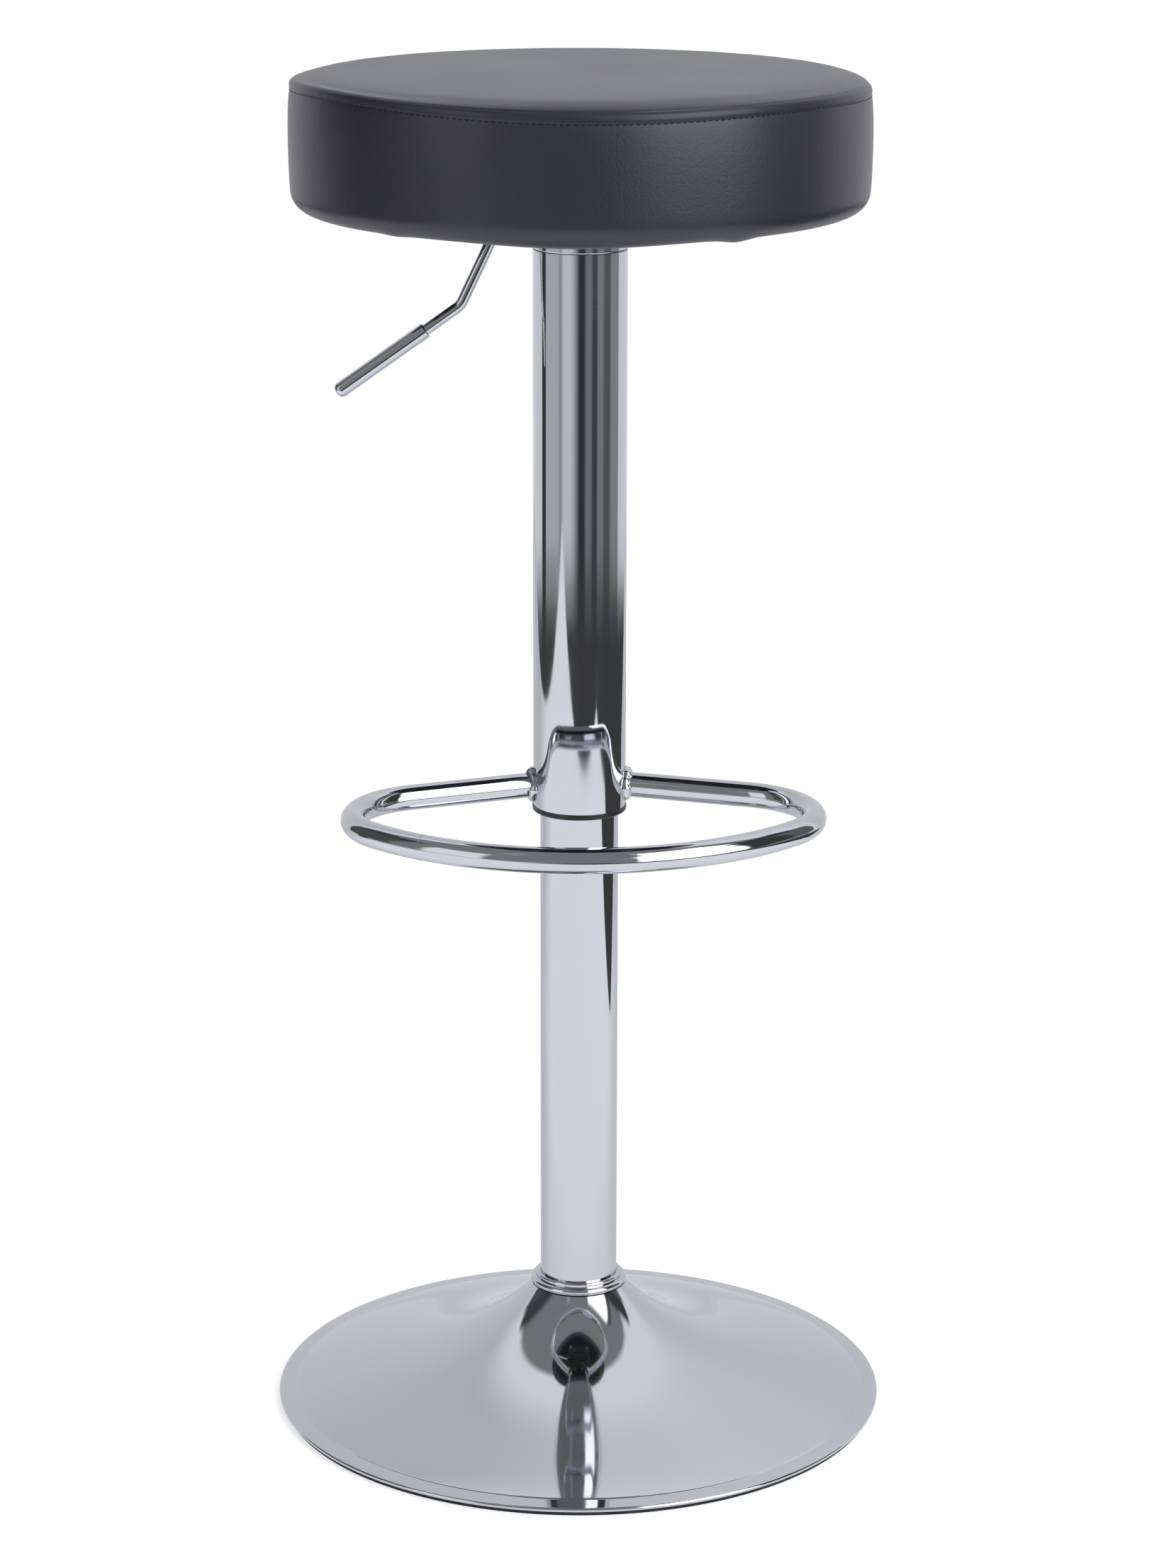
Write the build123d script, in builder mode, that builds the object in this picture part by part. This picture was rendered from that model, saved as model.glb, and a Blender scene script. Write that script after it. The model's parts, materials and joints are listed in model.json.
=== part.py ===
from build123d import *
import math
import os

os.makedirs("parts", exist_ok=True)

# Gas-lift swivel bar stool, in millimetres, +Z up, standing on the floor at Z = 0 with its column on the Z axis.
# It is drawn at full height. The footrest points to -Y and the lift lever to -X.

# Fits
slide_gap = 0.3  # radial room where one piece slides or turns past another
fit_gap = 0.1  # radial room of a bolt, pin or bush in its hole
stop_gap = 2.0  # room left at the end of the seat's travel

# Seat travel and main heights
seat_travel = 210.0
deck_height = 785.0  # underside of the seat board
skirt_height = 403.5  # lower end of the upper column
footrest_rise = 12.5  # footrest's centre line above the upper column's lower end

# Trumpet base, pressed from sheet
base_radius = 198.0
base_sheet = 1.2
base_slope = 10.8  # degrees, where the flare has died away
flare_rise = 41.6  # how far the flare lifts the neck above that slope
flare_length = 45.0  # the flare dies away over this radius
neck_radius = 30.6
brim_width = 10.6
brim_slope = 5.0  # degrees
brim_ease = 1.5  # bend where the step runs out into the brim
step_pitch = 40.0  # degrees, of the step down to the brim
step_ease = 0.8  # inside of the bend above the step
hem_gap = 0.6  # between the brim and the flange folded under it
rim_lip = 10.0  # width of that flange

# Rubber ring clipped on the rim's flange
ring_foot = 2.6  # rubber between the rim and the floor
ring_inset = 2.5  # from the outside of the rim
ring_web = 3.0
ring_hook = 0.8
ring_hook_reach = 2.5

# Ballast plate inside the base
ballast_inset = 38.7  # from the base's shoulder in to the plate's upper edge
ballast_thickness = 5.0
ballast_bevel = 2.0
ballast_bore = 18.0

# Column foot and its bolts
flange_radius = 56.0
flange_thickness = 6.0
flange_spigot_height = 3.0
flange_spigot_wall = 4.0
foot_bolt_count = 4
foot_bolt_circle = 42.0
foot_bolt_radius = 4.0
foot_bolt_head = 6.5  # half of the width across flats
foot_bolt_head_height = 5.3

# Fixed lower column with its guide
lower_radius = 25.0
lower_wall = 1.5
bush_length = 60.0
bush_flange = 3.0

# Collar at the foot of the column
collar_radius = 31.3
collar_bead = 5.2  # height of the outer bead
collar_lip_wall = 2.8
collar_lip = 2.8  # how far the inner lip stands above the bead
collar_skirt = 7.0

# Sliding upper column
upper_radius = 29.5
upper_wall = 1.5
cap_height = 9.5
cap_spigot = 9.0
glide_lip_height = 3.5
glide_lip_proud = 0.5
glide_length = 36.0

# Gas lift
cylinder_radius = 14.0
cylinder_wall = 2.0
cylinder_end = 4.0  # wall between the gas and the valve
cylinder_tip_radius = 13.0
taper_length = 45.0
gland_height = 9.0
seal_height = 3.0  # rod seal below the gland
rod_radius = 5.0
rod_spigot_radius = 4.0
rod_top_radius = 3.0
rod_tail = 3.0  # rod below its clip
piston_height = 10.0
piston_groove = 1.4
valve_radius = 3.6
valve_length = 27.0
valve_stand = 4.5  # button above the cylinder
valve_dome = 1.0

# Swivel bearing under the rod
race_radius = 13.0
race_thickness = 2.5
ball_radius = 2.4
ball_circle = 8.8
ball_count = 10
groove_depth = 0.8
cage_thickness = 1.2
cage_overhang = 1.0
bump_radius = 10.0
bump_height = 18.0
washer_radius = 9.0
washer_thickness = 1.2
clip_radius = 7.0
clip_thickness = 1.2
clip_depth = 0.8

# Footrest bent from round bar
footrest_bar = 8.0  # radius
footrest_front = 172.8  # centre line of the front bow, from the column's axis
footrest_corner = 54.0
footrest_sweep = 20.0  # degrees that the arms point forward

# Pressed seat plate and its hub
plate_sheet = 2.5
plate_width = 170.0
plate_corner = 14.0
plate_depth = 17.0
dish_width = 84.0
dish_flare = 25.0  # degrees
socket_radius = 20.0
socket_drop = 33.0  # below the dish
socket_stand = 1.0  # above the dish's floor
seat_bolt_pitch = 140.0
seat_bolt_radius = 3.0
seat_bolt_head = 6.0
seat_bolt_head_height = 4.0
seat_bolt_bite = 9.5  # length of bolt in the seat board
tee_nut_flange = 9.5
tee_nut_sheet = 1.2
tee_nut_wall = 1.2

# Lift lever
pivot_offset = 30.0  # from the column's axis
pin_radius = 2.5
pin_overhang = 1.0
boss_radius = 5.0
boss_width = 12.0
paddle_thickness = 3.6
paddle_reach = 3.0  # past the column's axis
paddle_tip = 4.5
lever_radius = 3.5
lever_bend = 12.0
lever_out = 47.9  # from the axis to the first bend
lever_drop = 55.0
lever_drop_run = 26.1
handle_run = 77.2
handle_fall = 54.3
grip_radius = 4.9
grip_length = 68.0
grip_end = 3.6  # rounding of the grip's end
grip_shoulder = 0.7  # bevel at its upper end
grip_cap = 5.0  # metal beyond the end of the rod
ear_thickness = 2.5
ear_width = 11.0
bracket_strap = 1.6
slot_room = 2.0  # each side of the lever in the plate's slot

# Seat
board_inset = 15.3  # foam between the board's edge and the side of the seat
board_thickness = 12.0
board_round = 4.0
cover_thickness = 1.2
cover_turn = 14.0  # width of cover turned in under the board
seat_radius = 179.3  # at the fullest part of the side
seam_inset = 2.2  # side drawn in at the seam
hem_inset = 0.9  # side drawn in above the lower edge
seam_rise = 74.5  # seam above the seat board's underside
crown_rise = 83.0
shoulder_rise = 5.0  # shoulder above the seam
shoulder_width = 9.0
hem_bend = 12.6
dust_sheet = 0.8


def revolved_section(points):
    # Closed section of half-plane points (radius, height).
    with BuildSketch(Plane.XZ) as section:
        with BuildLine():
            Polyline(*points, close=True)
        make_face()
    return section.sketch


def on_bend(centre, radius, slope):
    # Point of a rounded bend where the surface slopes by so many degrees.
    turn = math.radians(slope)
    return (centre[0] + radius * math.sin(turn), centre[1] + radius * math.cos(turn))


# Trumpet base: a flared slope, then a small step down to a brim with a folded hem
slope_tan = math.tan(math.radians(base_slope))
rim_bend = base_sheet + hem_gap / 2
rim_centre = (base_radius - rim_bend, ring_foot + rim_bend)
brim_edge = on_bend(rim_centre, rim_bend, brim_slope)
brim_root = base_radius - brim_width
brim_height = brim_edge[1] + (brim_edge[0] - brim_root) * math.tan(math.radians(brim_slope))
brim_centre = on_bend((brim_root, brim_height), brim_ease, brim_slope)
step_bend = base_sheet + step_ease
step_centre = on_bend(brim_centre, -brim_ease - step_bend, step_pitch)


def base_tan(radius):
    # Steepness of the base's outside at a radius.
    return slope_tan + flare_rise / flare_length * math.exp((neck_radius - radius) / flare_length)


shoulder_slope = base_slope
for _ in range(8):
    shoulder_radius, shoulder_height = on_bend(step_centre, step_bend, shoulder_slope)
    shoulder_slope = math.degrees(math.atan(base_tan(shoulder_radius)))


def flare(radius):
    # Height that the flare adds to the slope at a radius.
    return flare_rise * math.exp((neck_radius - radius) / flare_length)


def base_height(radius):
    # Height of the base's outside at a radius.
    slope_height = shoulder_height + (shoulder_radius - radius) * slope_tan
    return slope_height + flare(radius) - flare(shoulder_radius)


def sheet_side(inset):
    # Points of one face of the base's sheet, from the neck to the shoulder.
    points = []
    for share in (0, 0.04, 0.1, 0.18, 0.28, 0.4, 0.55, 0.75, 1):
        radius = neck_radius + (shoulder_radius - neck_radius) * share
        lean = math.atan(base_tan(radius))
        points.append((radius - inset * math.sin(lean), base_height(radius) - inset * math.cos(lean)))
    return points


def slope_way(radius):
    # Direction down the base's slope at a radius.
    return (1, -base_tan(radius))


def rim_arc(centre, radius, start, stop):
    # Arc of a rounded bend from one slope to another.
    ThreePointArc(
        on_bend(centre, radius, start),
        on_bend(centre, radius, (start + stop) / 2),
        on_bend(centre, radius, stop),
    )


neck_height = base_height(neck_radius)
neck_slope = math.atan(base_tan(neck_radius))
lip_radius = base_radius - rim_lip
with BuildPart() as base_shell:
    with BuildSketch(Plane.XZ):
        with BuildLine():
            for inset in (0, base_sheet):
                Spline(*sheet_side(inset), tangents=[slope_way(neck_radius), slope_way(shoulder_radius)])
                rim_arc(step_centre, step_bend - inset, shoulder_slope, step_pitch)
                rim_arc(brim_centre, -brim_ease - inset, step_pitch, brim_slope)
                Line(on_bend(brim_centre, -brim_ease - inset, brim_slope), on_bend(rim_centre, rim_bend - inset, brim_slope))
                rim_arc(rim_centre, rim_bend - inset, brim_slope, 180)
                Line(on_bend(rim_centre, rim_bend - inset, 180), (lip_radius, ring_foot + inset))
            Line((lip_radius, ring_foot), (lip_radius, ring_foot + base_sheet))
            Line(sheet_side(0)[0], sheet_side(base_sheet)[0])
        make_face()
    revolve(axis=Axis.Z)

# Rubber ring that grips the rim's flange
flange_top = ring_foot + base_sheet
web_radius = lip_radius - ring_web
with BuildPart() as floor_ring:
    add(
        revolved_section(
            [
                (web_radius, 0),
                (base_radius - ring_inset, 0),
                (base_radius - ring_inset, ring_foot),
                (lip_radius, ring_foot),
                (lip_radius, flange_top),
                (lip_radius + ring_hook_reach, flange_top),
                (lip_radius, flange_top + ring_hook),
                (web_radius, flange_top + ring_hook),
            ]
        )
    )
    revolve(axis=Axis.Z)

# Ballast plate, its upper edge against the inside of the base
ballast_edge = shoulder_radius - ballast_inset
ballast_top = base_height(ballast_edge) - base_sheet * math.hypot(1, base_tan(ballast_edge)) - fit_gap / 5
ballast_bottom = ballast_top - ballast_thickness
ballast_radius = ballast_edge + 2 * ballast_bevel
with BuildPart() as ballast_plate:
    add(
        revolved_section(
            [
                (ballast_bore, ballast_bottom),
                (ballast_radius, ballast_bottom),
                (ballast_radius, ballast_top - ballast_bevel),
                (ballast_edge, ballast_top),
                (ballast_bore, ballast_top),
            ]
        )
    )
    revolve(axis=Axis.Z)
    with PolarLocations(foot_bolt_circle, foot_bolt_count):
        Cylinder(foot_bolt_radius + slide_gap, 4 * ballast_top, mode=Mode.SUBTRACT)

# Column foot: a flange with a spigot for the lower column
column_bottom = ballast_top + flange_thickness
lower_bore = lower_radius - lower_wall
spigot_radius = lower_bore - fit_gap
with BuildPart() as column_flange:
    with BuildSketch(Plane.XY.offset(ballast_top)):
        Circle(flange_radius)
        Circle(rod_spigot_radius + slide_gap, mode=Mode.SUBTRACT)
        with PolarLocations(foot_bolt_circle, foot_bolt_count):
            Circle(foot_bolt_radius + fit_gap, mode=Mode.SUBTRACT)
    extrude(amount=flange_thickness)
    with BuildSketch(Plane.XY.offset(column_bottom)):
        Circle(spigot_radius)
        Circle(spigot_radius - flange_spigot_wall, mode=Mode.SUBTRACT)
    extrude(amount=flange_spigot_height)

with BuildPart() as foot_bolts:
    with BuildSketch(Plane.XY.offset(ballast_bottom - foot_bolt_head_height)):
        with PolarLocations(foot_bolt_circle, foot_bolt_count):
            RegularPolygon(foot_bolt_head, 6, major_radius=False)
    extrude(amount=foot_bolt_head_height)
    with BuildSketch(Plane.XY.offset(ballast_bottom)):
        with PolarLocations(foot_bolt_circle, foot_bolt_count):
            Circle(foot_bolt_radius)
    extrude(amount=ballast_thickness + flange_thickness)

# Heights of the seat plate, its hub and the valve, measured down from the seat board
dish_bottom = deck_height - plate_depth
dish_floor = dish_bottom + plate_sheet
flange_under = deck_height - plate_sheet
socket_top = dish_floor + socket_stand
socket_bottom = dish_bottom - socket_drop
cylinder_top = socket_top + stop_gap / 4
taper_bottom = cylinder_top - taper_length
button_top = cylinder_top + valve_stand
pivot_height = button_top + slide_gap + paddle_thickness / 2
upper_top = dish_bottom - cap_height

# Lower column and the bush that guides the gas cylinder
lower_top = socket_bottom - seat_travel - stop_gap - bush_flange
with BuildPart() as lower_column:
    with BuildSketch(Plane.XY.offset(column_bottom)):
        Circle(lower_radius)
        Circle(lower_bore, mode=Mode.SUBTRACT)
    extrude(amount=lower_top - column_bottom)

with BuildPart() as guide_bush:
    add(
        revolved_section(
            [
                (cylinder_radius + slide_gap, lower_top - bush_length),
                (lower_bore - fit_gap, lower_top - bush_length),
                (lower_bore - fit_gap, lower_top),
                (lower_radius, lower_top),
                (lower_radius, lower_top + bush_flange),
                (cylinder_radius + slide_gap, lower_top + bush_flange),
            ]
        )
    )
    revolve(axis=Axis.Z)

# Collar over the base's neck: an outer bead and a thin inner lip round the column
collar_bore = lower_radius + fit_gap
collar_top = neck_height + collar_bead
lip_outer = collar_bore + collar_lip_wall
skirt_outer = neck_radius - base_sheet * math.sin(neck_slope) - fit_gap
with BuildPart() as column_collar:
    with BuildSketch(Plane.XZ):
        with BuildLine():
            Polyline(
                (lip_outer, collar_top),
                (lip_outer, collar_top + collar_lip),
                (collar_bore, collar_top + collar_lip),
                (collar_bore, neck_height - collar_skirt),
                (skirt_outer, neck_height - collar_skirt),
                (skirt_outer, neck_height),
                (collar_radius - collar_bead / 2, neck_height),
            )
            ThreePointArc(
                (collar_radius - collar_bead / 2, neck_height),
                (collar_radius, neck_height + collar_bead / 2),
                (collar_radius - collar_bead / 2, collar_top),
            )
            Line((collar_radius - collar_bead / 2, collar_top), (lip_outer, collar_top))
        make_face()
    revolve(axis=Axis.Z)
    lip_circles = column_collar.edges().filter_by(GeomType.CIRCLE).group_by(Axis.Z)[-1]
    fillet(lip_circles.filter_by(lambda circle: circle.radius > collar_bore + fit_gap), collar_lip_wall / 2)

# Swivel bearing: the balls run in grooves between two races
lower_race_top = column_bottom + race_thickness
ball_height = lower_race_top - groove_depth + ball_radius + fit_gap
upper_race_bottom = 2 * ball_height - lower_race_top
upper_race_top = upper_race_bottom + race_thickness
race_bore = rod_spigot_radius + fit_gap


def race_section(bottom):
    # Flat ring with a groove for the balls on the side that faces them.
    with BuildSketch(Plane.XZ) as section:
        with BuildLine():
            Polyline(
                (race_bore, bottom),
                (race_radius, bottom),
                (race_radius, bottom + race_thickness),
                (race_bore, bottom + race_thickness),
                close=True,
            )
        make_face()
        with Locations((ball_circle, ball_height)):
            Circle(ball_radius + fit_gap, mode=Mode.SUBTRACT)
    return section.sketch


with BuildPart() as bearing_lower_race:
    add(race_section(column_bottom))
    revolve(axis=Axis.Z)

with BuildPart() as bearing_upper_race:
    add(race_section(upper_race_bottom))
    revolve(axis=Axis.Z)

with BuildPart() as bearing_balls:
    with Locations((0, 0, ball_height)):
        with PolarLocations(ball_circle, ball_count):
            Sphere(ball_radius)

with BuildPart() as ball_cage:
    with BuildSketch(Plane.XY.offset(ball_height - cage_thickness / 2)):
        Circle(ball_circle + ball_radius + cage_overhang)
        Circle(ball_circle - ball_radius - cage_overhang, mode=Mode.SUBTRACT)
        with PolarLocations(ball_circle, ball_count):
            Circle(ball_radius + fit_gap, mode=Mode.SUBTRACT)
    extrude(amount=cage_thickness)

# Piston rod, held down in the flange by a washer and a clip
bump_top = upper_race_top + bump_height
cylinder_bottom = bump_top + seat_travel + stop_gap
gland_bottom = cylinder_bottom + seal_height
piston_bottom = gland_bottom + gland_height + stop_gap / 2
piston_top = piston_bottom + piston_height
washer_top = ballast_top - fit_gap
clip_top = washer_top - washer_thickness
clip_bottom = clip_top - clip_thickness
groove_radius = rod_spigot_radius - clip_depth
with BuildPart() as piston_rod:
    add(
        revolved_section(
            [
                (0, clip_bottom - rod_tail),
                (rod_spigot_radius, clip_bottom - rod_tail),
                (rod_spigot_radius, clip_bottom),
                (groove_radius, clip_bottom),
                (groove_radius, clip_top),
                (rod_spigot_radius, clip_top),
                (rod_spigot_radius, upper_race_top),
                (rod_radius, upper_race_top),
                (rod_radius, piston_bottom),
                (rod_top_radius, piston_bottom),
                (rod_top_radius, piston_top),
                (0, piston_top),
            ]
        )
    )
    revolve(axis=Axis.Z)

with BuildPart() as rod_washer:
    with BuildSketch(Plane.XY.offset(clip_top)):
        Circle(washer_radius)
        Circle(rod_spigot_radius + fit_gap, mode=Mode.SUBTRACT)
    extrude(amount=washer_thickness)

with BuildPart() as rod_clip:
    with BuildSketch(Plane.XY.offset(clip_bottom)):
        Circle(clip_radius)
        Circle(groove_radius, mode=Mode.SUBTRACT)
        with Locations((clip_radius, 0)):
            Rectangle(2 * clip_radius, 2 * groove_radius, mode=Mode.SUBTRACT)
    extrude(amount=clip_thickness)

with BuildPart() as bump_stop:
    with BuildSketch(Plane.XY.offset(upper_race_top)):
        Circle(bump_radius)
        Circle(rod_radius + fit_gap, mode=Mode.SUBTRACT)
    extrude(amount=bump_height)
    chamfer(bump_stop.edges().group_by(Axis.Z)[-1].sort_by(SortBy.RADIUS)[-1], bump_radius / 5)

# Piston, with a ring in its groove that rubs on the cylinder's bore
cylinder_bore = cylinder_radius - cylinder_wall
piston_middle = piston_bottom + piston_height / 2
ring_inner = cylinder_bore - slide_gap - piston_groove
ring_outer = cylinder_bore - fit_gap
ring_section = (ring_outer - ring_inner) / 2
with BuildPart() as piston:
    with BuildSketch(Plane.XY.offset(piston_bottom)):
        Circle(cylinder_bore - slide_gap)
        Circle(rod_top_radius, mode=Mode.SUBTRACT)
    extrude(amount=piston_height)
    with BuildSketch(Plane.XY.offset(piston_middle)):
        Circle(cylinder_radius)
        Circle(ring_inner, mode=Mode.SUBTRACT)
    extrude(amount=ring_section + slide_gap, both=True, mode=Mode.SUBTRACT)

with BuildPart() as piston_ring:
    with BuildSketch(Plane.XZ):
        with Locations((ring_inner + ring_section, piston_middle)):
            Circle(ring_section)
    revolve(axis=Axis.Z)

# Gas cylinder with the tapered end that the seat's hub is driven on to
valve_bottom = button_top - valve_length
valve_well = valve_bottom - valve_stand
chamber_top = valve_well - cylinder_end
with BuildPart() as gas_cylinder:
    add(
        revolved_section(
            [
                (cylinder_bore, cylinder_bottom),
                (cylinder_radius, cylinder_bottom),
                (cylinder_radius, taper_bottom),
                (cylinder_tip_radius, cylinder_top),
                (valve_radius + slide_gap, cylinder_top),
                (valve_radius + slide_gap, valve_well),
                (0, valve_well),
                (0, chamber_top),
                (cylinder_bore, chamber_top),
            ]
        )
    )
    revolve(axis=Axis.Z)

with BuildPart() as cylinder_gland:
    with BuildSketch(Plane.XY.offset(gland_bottom)):
        Circle(cylinder_bore)
        Circle(rod_radius + fit_gap, mode=Mode.SUBTRACT)
    extrude(amount=gland_height)

with BuildPart() as rod_seal:
    with BuildSketch(Plane.XY.offset(cylinder_bottom)):
        Circle(cylinder_bore)
        Circle(rod_radius + fit_gap, mode=Mode.SUBTRACT)
    extrude(amount=seal_height)

with BuildPart() as valve_button:
    with BuildSketch(Plane.XZ):
        with BuildLine():
            Polyline(
                (0, button_top),
                (0, valve_bottom),
                (valve_radius, valve_bottom),
                (valve_radius, button_top - valve_dome),
            )
            TangentArc((0, button_top), (valve_radius, button_top - valve_dome), tangent=(1, 0))
        make_face()
    revolve(axis=Axis.Z)

# Upper column, with the glide that runs on the lower one and the cap that it hangs from
upper_bore = upper_radius - upper_wall
with BuildPart() as upper_column:
    with BuildSketch(Plane.XY.offset(skirt_height)):
        Circle(upper_radius)
        Circle(upper_bore, mode=Mode.SUBTRACT)
    extrude(amount=upper_top - skirt_height)

glide_bore = lower_radius + slide_gap
with BuildPart() as column_glide:
    add(
        revolved_section(
            [
                (glide_bore, skirt_height - glide_lip_height),
                (upper_radius + glide_lip_proud, skirt_height - glide_lip_height),
                (upper_radius + glide_lip_proud, skirt_height),
                (upper_bore - fit_gap, skirt_height),
                (upper_bore - fit_gap, skirt_height + glide_length),
                (glide_bore, skirt_height + glide_length),
            ]
        )
    )
    revolve(axis=Axis.Z)
    lip_edges = column_glide.edges().group_by(Axis.Z)[0].sort_by(SortBy.RADIUS)[-1]
    fillet(lip_edges, glide_lip_height / 3)

with BuildPart() as column_cap:
    add(
        revolved_section(
            [
                (socket_radius + fit_gap, upper_top - cap_spigot),
                (upper_bore - fit_gap, upper_top - cap_spigot),
                (upper_bore - fit_gap, upper_top),
                (upper_radius, upper_top),
                (upper_radius, dish_bottom),
                (socket_radius + fit_gap, dish_bottom),
            ]
        )
    )
    revolve(axis=Axis.Z)
    cap_circles = column_cap.edges().filter_by(GeomType.CIRCLE)
    fillet(cap_circles.filter_by(lambda circle: circle.radius > upper_bore), cap_height / 8)

# Footrest: two arms coped to the upper column, corner bends and a front bow round the column's axis
footrest_height = skirt_height + footrest_rise
sweep_angle = math.radians(footrest_sweep)
arm_way = Vector(math.cos(sweep_angle), -math.sin(sweep_angle))
arm_side = Vector(-math.sin(sweep_angle), -math.cos(sweep_angle))
arm_root = Vector(upper_radius, 0)
corner_shift = arm_root + arm_side * footrest_corner
along = corner_shift.dot(arm_way)
corner_circle = footrest_front - footrest_corner
arm_length = math.sqrt(along**2 - corner_shift.dot(corner_shift) + corner_circle**2) - along
arm_end = arm_root + arm_way * arm_length
corner_centre = corner_shift + arm_way * arm_length
bow_start = corner_centre.normalized() * footrest_front
corner_middle = corner_centre + (corner_centre.normalized() - arm_side).normalized() * footrest_corner
arm_start = arm_root - arm_way * (upper_radius / 2)


def right(point):
    return (point.X, point.Y)


def left(point):
    return (-point.X, point.Y)


with BuildPart() as footrest:
    with BuildLine(Plane.XY.offset(footrest_height)) as footrest_path:
        arm = Line(right(arm_start), right(arm_end))
        ThreePointArc(right(arm_end), right(corner_middle), right(bow_start))
        ThreePointArc(right(bow_start), (0, -footrest_front), left(bow_start))
        ThreePointArc(left(bow_start), left(corner_middle), left(arm_end))
        Line(left(arm_end), left(arm_start))
    with BuildSketch(Plane(origin=arm @ 0, z_dir=arm % 0)):
        Circle(footrest_bar)
    sweep(path=footrest_path.wires()[0])
    with Locations((0, 0, footrest_height)):
        Cylinder(upper_radius, 4 * footrest_bar, mode=Mode.SUBTRACT)

# Hub welded through the seat plate, its bore tapered to the gas cylinder
taper_tan = (cylinder_radius - cylinder_tip_radius) / taper_length


def taper_radius(height):
    # Radius of the cylinder's tapered end at a height.
    return cylinder_tip_radius + (cylinder_top - height) * taper_tan


with BuildPart() as seat_socket:
    add(
        revolved_section(
            [
                (taper_radius(socket_bottom), socket_bottom),
                (socket_radius, socket_bottom),
                (socket_radius, socket_top),
                (taper_radius(socket_top), socket_top),
            ]
        )
    )
    revolve(axis=Axis.Z)

# Pressed seat plate: a flange round a flared dish, with a slot for the lever
dish_wall = plate_sheet / math.cos(math.radians(dish_flare))
flare_tan = math.tan(math.radians(dish_flare))
inner_width = dish_width - 2 * (dish_wall - plate_sheet * flare_tan)
slot_width = 2 * (lever_radius + slot_room)
with BuildPart() as seat_plate:
    with BuildSketch(Plane.XY.offset(dish_bottom)):
        RectangleRounded(dish_width, dish_width, plate_corner)
    extrude(amount=plate_depth, taper=-dish_flare)
    with BuildSketch(Plane.XY.offset(flange_under)):
        RectangleRounded(plate_width, plate_width, plate_corner)
    extrude(amount=plate_sheet)
    with BuildSketch(Plane.XY.offset(dish_floor)):
        RectangleRounded(inner_width, inner_width, plate_corner - plate_sheet / 2)
    extrude(amount=plate_depth - plate_sheet, taper=-dish_flare, mode=Mode.SUBTRACT)
    with BuildSketch(Plane.XY.offset(dish_bottom)):
        Circle(socket_radius)
    extrude(amount=plate_sheet, mode=Mode.SUBTRACT)
    with BuildSketch(Plane.XY.offset(flange_under)):
        with GridLocations(seat_bolt_pitch, seat_bolt_pitch, 2, 2):
            Circle(seat_bolt_radius + slide_gap)
    extrude(amount=plate_sheet, mode=Mode.SUBTRACT)
    with BuildSketch(Plane.XY.offset(dish_floor)):
        with Locations((-dish_width / 2, 0)):
            Rectangle(dish_width / 2, slot_width)
    extrude(amount=deck_height - dish_floor, mode=Mode.SUBTRACT)

# Bracket on the dish's floor that carries the lever's pin: two ears on a strap
ear_inner = boss_width / 2 + slide_gap
ear_top = pivot_height + ear_width / 2 - fit_gap
with BuildPart() as lever_bracket:
    with BuildSketch(Plane.XZ.offset(-ear_inner - ear_thickness)):
        with BuildLine():
            Polyline(
                (-pivot_offset + ear_width / 2, pivot_height),
                (-pivot_offset + ear_width / 2, dish_floor),
                (-pivot_offset - ear_width / 2, dish_floor),
                (-pivot_offset - ear_width / 2, pivot_height),
            )
            ThreePointArc(
                (-pivot_offset - ear_width / 2, pivot_height),
                (-pivot_offset, ear_top),
                (-pivot_offset + ear_width / 2, pivot_height),
            )
        make_face()
        with Locations((-pivot_offset, pivot_height)):
            Circle(pin_radius, mode=Mode.SUBTRACT)
    extrude(amount=ear_thickness)
    mirror(about=Plane.XZ)
    with BuildSketch(Plane.XY.offset(dish_floor)):
        with Locations((-pivot_offset, 0)):
            Rectangle(ear_width, 2 * (ear_inner + ear_thickness))
    extrude(amount=bracket_strap)

pin_length = 2 * (ear_inner + ear_thickness + pin_overhang)
with BuildPart() as lever_pin:
    with BuildSketch(Plane.XZ):
        with Locations((-pivot_offset, pivot_height)):
            Circle(pin_radius)
    extrude(amount=pin_length / 2, both=True)

# Lever: a paddle over the valve, a boss on the pin and a rod bent down and out to the grip
knee = (-lever_out, pivot_height)
elbow = (-lever_out - lever_drop_run, pivot_height - lever_drop)
handle_length = math.hypot(handle_run, handle_fall)
handle_way = (-handle_run / handle_length, -handle_fall / handle_length)
rod_end_run = handle_length - grip_cap
rod_end = (elbow[0] + handle_way[0] * rod_end_run, elbow[1] + handle_way[1] * rod_end_run)
grip_run = handle_length - grip_length
grip_start = (elbow[0] + handle_way[0] * grip_run, elbow[1] + handle_way[1] * grip_run)
handle_dir = (handle_way[0], 0, handle_way[1])

with BuildPart() as lever_rod:
    with BuildLine(Plane.XZ) as lever_path:
        FilletPolyline((-pivot_offset, pivot_height), knee, elbow, rod_end, radius=lever_bend)
    with BuildSketch(Plane(origin=(-pivot_offset, 0, pivot_height), z_dir=(-1, 0, 0))):
        Circle(lever_radius)
    sweep(path=lever_path.wires()[0])
    with BuildSketch(Plane.XY.offset(pivot_height - paddle_thickness / 2)):
        with Locations((-pivot_offset, 0)):
            Circle(boss_width / 2)
        with Locations((paddle_reach, 0)):
            Circle(paddle_tip)
        make_hull()
    extrude(amount=paddle_thickness)
    with BuildSketch(Plane.XZ):
        with Locations((-pivot_offset, pivot_height)):
            Circle(boss_radius)
    extrude(amount=boss_width / 2, both=True)
    with BuildSketch(Plane.XZ):
        with Locations((-pivot_offset, pivot_height)):
            Circle(pin_radius + fit_gap)
    extrude(amount=boss_width, both=True, mode=Mode.SUBTRACT)

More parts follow.
